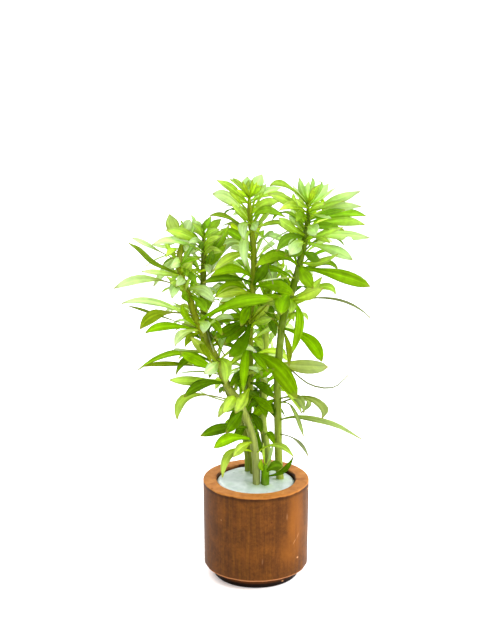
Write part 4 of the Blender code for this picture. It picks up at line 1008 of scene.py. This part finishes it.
# %% Whorls by rule
# (lowest and highest row, leaves, shortest and longest length in mm, row below which they only
# stand behind the stem)
WHORLS = {"front": (420, 250, 46, 18, 34, 380), "left": (350, 256, 18, 18, 34, 375),
          "centre": (430, 204, 60, 18, 36, 375), "right": (335, 208, 46, 18, 36, 290),
          "back": (420, 288, 34, 18, 34, 290)}
PER_NODE = 4
FULL_SWEEP = 0.48
BEHIND_SWEEP = 0.20
RULED_LENGTHS = (0.7, 1.1)
RULED_WIDENING = 1.25
RISE_LOW, RISE_CROWN = 0.12, 0.5
RISE_SPREAD = (-0.12, 0.16)
OLD_BELOW = 0.45
YOUNG_FROM = 0.4
frame_top = cad_box[1][2]


def youth_at(shoot, row):
    """How young a leaf is: 1 in the crown, 0 from the middle of the stem down."""
    return min(max(2.2 * shoot.place_of_row(row) - 1.2, 0.0), 1.0)


def whorl_blades(shoot, chance):
    """Arching leaves set round the far side of a stem, shorter towards its tip, and their youth."""
    low, high, count, short, long, low_row = WHORLS[shoot.name]
    for i in range(count):
        share = (i // PER_NODE + 0.5) * PER_NODE / count
        row = low + (high - low) * min(share, 1.0) ** 1.15
        place = shoot.place_of_row(row)
        foot = shoot.at(place)
        length = (long + (short - long) * share ** 2) * chance.uniform(*RULED_LENGTHS) * MM
        # The far half turn only, so that these leaves start behind their own stem
        turn = (i % PER_NODE + chance.uniform(0.1, 0.9)) / PER_NODE
        sweep = FULL_SWEEP if row < low_row else BEHIND_SWEEP
        angle = math.pi * (0.5 + sweep * (2.0 * turn - 1.0))
        out = Vector((math.cos(angle), math.sin(angle), 0.0))
        rise = RISE_LOW + RISE_CROWN * share ** 3 + chance.uniform(*RISE_SPREAD)
        bend = foot + out * 0.5 * length + Vector((0.0, 0.0, rise * length))
        tip = foot + out * (0.9 - 0.5 * share ** 4) * length
        tip += Vector((0.0, 0.0, 2.2 * (rise - 0.2) * length))
        facing = Vector((chance.uniform(-0.5, 0.5), chance.uniform(-1.4, 0.2), 1.0)).normalized()
        width = LEAF_PROPORTION * RULED_WIDENING * length
        yield Blade(foot, bend, tip, facing, width), youth_at(shoot, row)


# %% [markdown]
# Now every shoot gets its leaves: those on the solids, those between, and the whorls. All of
# a shoot's leaves are one joined mesh, and a Solidify modifier gives them their thickness.

# %% Grow the foliage
def grow_foliage(shoot, seed):
    """One mesh with all the leaves of a shoot."""
    chance = random.Random(seed)
    tree = solids_tree([shoot.stem_node] + shoot.leaf_nodes)
    shape = bmesh.new()
    shape.loops.layers.uv.new("UVMap")
    shape.loops.layers.float_color.new("tone")
    # The worst leaf's mean distance from the solids
    worst = 0.0
    for row, bend, tip, wide, long, letter in LEAVES[shoot.name]:
        off, blade = fitted(
            lambda sway: photographed_blade(shoot, row, bend, tip, wide, long, sway), tree)
        worst = max(worst, off / len(FIT_SHARES))
        blade.blunt *= 1.0 - youth_at(shoot, row)
        tone = leaf_tone(letter.upper(), chance, youth_at(shoot, row))
        bitten = BITES.get((shoot.name, row, long), 0.0)
        grow_blade(shape, blade, tone, chance, letter.islower(), bitten)
        shoot.whorls.append(shoot.place_of_row(row))
    for row, compass, long in HIDDEN_LEAVES[shoot.name]:
        off, blade = fitted(lambda sway: hidden_blade(shoot, row, compass, long, sway), tree)
        worst = max(worst, off / len(FIT_SHARES))
        grow_blade(shape, blade, leaf_tone(chance.choice("LMMD"), chance, youth_at(shoot, row)), chance)
    for row, bend, tip, wide, long, letter in MORE_LEAVES[shoot.name]:
        blade = photographed_blade(shoot, row, bend, tip, wide, long, 0.0)
        tone = leaf_tone(letter.upper(), chance, youth_at(shoot, row))
        grow_blade(shape, blade, tone, chance, letter.islower())
        shoot.whorls.append(shoot.place_of_row(row))
    if shoot.name in WHORLS:
        for blade, youth in whorl_blades(shoot, chance):
            old = blade.foot.z < OLD_BELOW * frame_top
            letters = "LLLVY" if youth > YOUNG_FROM else "MMDDL" if old else "LLPPPMMD"
            grow_blade(shape, blade, leaf_tone(chance.choice(letters), chance, youth), chance)
    print(shoot.name, "leaves lie within", round(worst / MM, 2), "mm of its solids")
    piece = finish_piece(shoot.name + "_foliage", shape, waxy_leaf, shoot.leaf_nodes)
    wall = piece.modifiers.new("thickness", "SOLIDIFY")
    wall.thickness = LEAF_THICKNESS
    wall.offset = 0.0


for number, shoot in enumerate(shoots.values()):
    grow_foliage(shoot, 40 + number)

# %% [markdown]
# ## The stems' surface
# A ring of fourteen points is carried up each line. Rings are about 2 mm apart, and the
# radius swells a little at the rows where leaves leave the stem. The colour goes from one
# tone at the gel to another in the middle and to a fresh green in the crown, with three
# paler stripes that wander a little, the one turned to the viewer a painted highlight down
# the stem's middle, and is stored in the mesh.

# %% Build the stems
STEM_SIDES = 14
NODE_SWELL = 0.05
NODE_SHARE = 0.006
HIGHLIGHT_STRIPE = 0.2
RING_STEP = 2.0 * MM
PLACE_STEP = 0.004
RIDGE = 0.03
MIDDLE_SHARE = 0.6
CROWN_SHARE = 0.95


def grow_stem(shoot):
    """A stem as a closed mesh, from its root in the gel to its tip."""
    shape = bmesh.new()
    bmesh.ops.create_cone(shape, cap_ends=True, cap_tris=False, segments=STEM_SIDES,
                          radius1=1.0, radius2=1.0, depth=1.0)
    length = sum((b - a).length for a, b in zip(shoot.points, shoot.points[1:]))
    rings = max(int(length / RING_STEP), 8)
    long_edges = [edge for edge in shape.edges if abs(edge.verts[0].co.z - edge.verts[1].co.z) > 0.5]
    bmesh.ops.subdivide_edges(shape, edges=long_edges, cuts=rings)
    root = ROOT_DEPTH / length
    layer = shape.loops.layers.float_color.new("tone")
    painted_highlight_stripes = {}
    for vert in shape.verts:
        x, y, along = vert.co
        place = -root + (1.0 + root) * (along + 0.5)
        middle = shoot.at(place) + Vector((0.0, 0.0, min(place, 0.0) * length))
        ahead = shoot.at(max(place, 0.0) + PLACE_STEP)
        behind = shoot.at(max(place, PLACE_STEP) - PLACE_STEP)
        heading = (ahead - behind).normalized()
        side = heading.cross(Vector((0.0, -1.0, 0.0))).normalized()
        front = side.cross(heading)
        swell = max([math.exp(-((place - whorl) / NODE_SHARE) ** 2) for whorl in shoot.whorls] + [0.0])
        angle = math.atan2(y, x)
        ridge = 1.0 + RIDGE * math.cos(4.0 * angle + place * 5.0)
        # Paler stripes: the one turned to the viewer is a painted highlight down the stem's middle
        painted_highlight_stripes[vert] = 1.0 + HIGHLIGHT_STRIPE * math.cos(3.0 * (angle - math.pi / 2.0) + math.sin(place * 9.0))
        radius = shoot.radius(place) * (1.0 + NODE_SWELL * swell) * ridge
        vert.co = middle + (side * x + front * y) * radius
    reach = max(shoot.at(1.0).z - POT_HEIGHT, 20.0 * MM)
    for face in shape.faces:
        for loop in face.loops:
            share = min(max((loop.vert.co.z - POT_HEIGHT) / reach, 0.0), 1.0)
            body = min(share / MIDDLE_SHARE, 1.0)
            young = min(max((share - CROWN_SHARE) / (1.0 - CROWN_SHARE), 0.0), 1.0)
            tone = [a + (b - a) * body for a, b in zip(shoot.low, shoot.high)]
            painted_highlight_stripe = painted_highlight_stripes[loop.vert]
            loop[layer] = [(a + (b - a) * young) * painted_highlight_stripe for a, b in zip(tone, shoot.crown)]
    bmesh.ops.recalc_face_normals(shape, faces=shape.faces)
    return shape


def stem_material():
    """A smooth living stem: satin skin, with fine fibres along it and paler scars."""
    material, tree, output = new_material("living_stem_skin")
    tone = add_node(tree, "Attribute", attribute_name="tone").outputs["Color"]
    place = add_node(tree, "TexCoord").outputs["Object"]
    # Fibres 0.6 mm wide and 12 mm long
    fibre_place = add_node(tree, "Mapping", {0: place, "Scale": (1600.0, 1600.0, 80.0)})
    fibres = add_node(tree, "TexNoise", {"Vector": fibre_place.outputs[0], "Scale": 1.0, "Detail": 4.0})
    blotch = add_node(tree, "TexNoise", {"Vector": place, "Scale": 120.0, "Detail": 3.0})
    shade = add_node(tree, "ValToRGB", {0: fibres.outputs[0]}, stops=[(0.3, grey(0.7)), (0.7, grey(1.25))])
    body = add_node(tree, "Mix", {0: 1.0, 6: tone, 7: shade.outputs["Color"]}, data_type="RGBA",
                    blend_type="MULTIPLY")
    bare = add_node(tree, "ValToRGB", {0: blotch.outputs[0]}, stops=[(0.52, grey(0.0)), (0.72, grey(0.22))])
    body = add_node(tree, "Mix", {0: bare.outputs["Color"], 6: body.outputs[2], 7: linear("#929c5a")},
                    data_type="RGBA")
    bump = add_node(tree, "Bump", {"Height": fibres.outputs[0], "Strength": 0.2, "Distance": 0.2 * MM})
    shader = add_node(tree, "BsdfPrincipled", {"Base Color": body.outputs[2], "Roughness": 0.45,
                                               "Normal": bump.outputs[0], "IOR": 1.45,
                                               "Specular IOR Level": 0.03})
    tree.links.new(shader.outputs[0], output.inputs[0])
    return material


stem_skin = stem_material()
for shoot in shoots.values():
    finish_piece(shoot.name + "_shoot", grow_stem(shoot), stem_skin, [shoot.stem_node])

# %% [markdown]
# ## The rooting gel
# The white gel fills the cup. It stands a little below the rim, slightly lower on the right,
# with soft lumps, and it climbs each stem by a hair, as a wet gel does. It is a turned dome
# whose top is then pushed about.

# %% Build the gel
GAP = 0.3 * MM
GEL_EDGE = 1.4 * MM
GEL_RISE = 1.1 * MM
GEL_STEPS = 72
GEL_RINGS = 24
EDGE_FROM = 0.93
EDGE_DROP = 1.2 * MM
TOP_DEPTH = 6.0 * MM
GEL_TILT = 0.024
LUMP = 0.35 * MM
LUMP_SIZE = 7.0 * MM
CLIMB = 0.9 * MM
CLIMB_REACH = 1.2 * MM
TINT_REACH = 2.5 * MM
# Specks of dirt: pixel, half width and half depth in mm, tilt, strength
GEL_SPECKS = [((267, 490), (0.45, 0.5), 0, 0.9), ((279, 484), (0.4, 0.4), 0, 0.8),
              ((247, 491), (0.35, 0.4), 0, 0.6), ((234, 472), (0.8, 0.5), 20, 0.5)]

gel_radius = POT_RADIUS - RIM_WALL - 0.5 * GAP
gel_profile = []
for i in range(GEL_RINGS + 1):
    share = i / GEL_RINGS
    dome = POT_HEIGHT - GEL_EDGE + GEL_RISE * (1.0 - share * share)
    drop = EDGE_DROP * max(0.0, share - EDGE_FROM) / (1.0 - EDGE_FROM)
    gel_profile.append((gel_radius * share, dome - drop))
gel_profile += [(gel_radius - POT_TAPER, FLOOR_TOP + GAP), (0.0, FLOOR_TOP + GAP)]
gel_shape = spin_profile(gel_profile, GEL_STEPS)
gel_tint = gel_shape.loops.layers.float_color.new("tone")
for vert in gel_shape.verts:
    if vert.co.z > POT_HEIGHT - TOP_DEPTH:
        flat = Vector((vert.co.x, vert.co.y, 0.0))
        vert.co.z -= GEL_TILT * vert.co.x
        vert.co.z += LUMP * noise.noise(flat / LUMP_SIZE)
        for shoot in shoots.values():
            foot = shoot.at(0.0)
            apart = (flat - Vector((foot.x, foot.y, 0.0))).length - shoot.foot_radius
            vert.co.z += CLIMB * math.exp(-max(apart, 0.0) / CLIMB_REACH)
for face in gel_shape.faces:
    for loop in face.loops:
        spot = Vector((loop.vert.co.x, loop.vert.co.y, 0.0))
        apart = min((spot - Vector((shoot.at(0.0).x, shoot.at(0.0).y, 0.0))).length - shoot.foot_radius
                    for shoot in shoots.values())
        loop[gel_tint] = grey(math.exp(-max(apart, 0.0) / TINT_REACH))


def gel_material():
    """Agar gel: milky and wet, a little see-through, greener where the stems stand in it."""
    material, tree, output = new_material("agar_gel")
    near_stem = add_node(tree, "Attribute", attribute_name="tone").outputs["Fac"]
    place = add_node(tree, "TexCoord").outputs["Object"]
    cloud = add_node(tree, "TexNoise", {"Vector": place, "Scale": 220.0, "Detail": 4.0})
    milk = add_node(tree, "ValToRGB", {0: cloud.outputs[0]},
                    stops=[(0.3, linear("#9eaaa6")), (0.7, linear("#aeb8b6"))]).outputs["Color"]
    green_share = add_node(tree, "Math", {0: near_stem, 1: 0.65}, operation="MULTIPLY").outputs[0]
    body = add_node(tree, "Mix", {0: green_share, 6: milk, 7: linear("#86a066")}, data_type="RGBA")
    body = add_node(tree, "Mix", {0: spots(tree, place, GEL_SPECKS, True), 6: body.outputs[2],
                                  7: linear("#2c2416")}, data_type="RGBA")
    wobble = add_node(tree, "TexNoise", {"Vector": place, "Scale": 500.0, "Detail": 3.0})
    bump = add_node(tree, "Bump", {"Height": wobble.outputs[0], "Strength": 0.15, "Distance": 0.3 * MM})
    shader = add_node(tree, "BsdfPrincipled", {"Base Color": body.outputs[2], "Roughness": 0.12,
                                               "Normal": bump.outputs[0], "IOR": 1.34,
                                               "Subsurface Weight": 0.5, "Subsurface Scale": 2.0 * MM,
                                               "Subsurface Radius": (1.0, 1.0, 1.0)})
    tree.links.new(shader.outputs[0], output.inputs[0])
    return material


agar_gel = gel_material()
finish_piece("gel_plug", gel_shape, agar_gel, ["rooting_gel"])

# %% [markdown]
# ## Stage and light
# The photograph is a bright studio picture on white paper. Broad suns from the upper right
# and from the upper left stand for its large lamps: unlike a lamp at a place, they light the
# paper evenly to its far edge. Two more shine from behind, one along the pot's right side and
# one through the leaves, which makes them glow. A white surround fills the shadows, and the
# paper glows a little, as overlit paper does.

# %% Floor and lights
FLOOR_HALF = 6.0
floor_shape = bmesh.new()
bmesh.ops.create_grid(floor_shape, x_segments=1, y_segments=1, size=FLOOR_HALF)
floor_mesh = bpy.data.meshes.new("floor")
floor_shape.to_mesh(floor_mesh)
floor_shape.free()
floor = bpy.data.objects.new("floor", floor_mesh)
floor.location.z = -0.05 * MM
bpy.context.scene.collection.objects.link(floor)
paper, paper_tree, paper_output = new_material("white_paper")
paper_shader = add_node(paper_tree, "BsdfPrincipled", {"Base Color": linear("#f4f4f4"), "Roughness": 0.9,
                                                       "Specular IOR Level": 0.0,
                                                       "Emission Color": linear("#ffffff"),
                                                       "Emission Strength": 0.12})
paper_tree.links.new(paper_shader.outputs[0], paper_output.inputs[0])
floor_mesh.materials.append(paper)


def broad_sun(name, azimuth, elevation, spread, strength):
    """A soft sun; azimuth 0 shines from the viewer's side, 90 from the right."""
    data = bpy.data.lights.new(name, "SUN")
    data.energy = strength
    data.angle = math.radians(spread)
    lamp = bpy.data.objects.new(name, data)
    turn, rise = math.radians(azimuth), math.radians(elevation)
    source = Vector((math.sin(turn) * math.cos(rise), -math.cos(turn) * math.cos(rise), math.sin(rise)))
    lamp.rotation_euler = (-source).to_track_quat("-Z", "Y").to_euler()
    bpy.context.scene.collection.objects.link(lamp)


broad_sun("key", 60.0, 36.0, 30.0, 2.9)
broad_sun("fill", -35.0, 55.0, 60.0, 0.9)
broad_sun("right_rim", 108.0, 20.0, 40.0, 2.2)
broad_sun("back_glow", -150.0, 50.0, 60.0, 2.0)
world = bpy.data.worlds.new("white_surround")
world.use_nodes = True
world.node_tree.nodes["Background"].inputs["Color"].default_value = (1.0, 1.0, 1.0, 1.0)
world.node_tree.nodes["Background"].inputs["Strength"].default_value = 1.05
bpy.context.scene.world = world
bpy.context.scene.view_settings.view_transform = "Standard"
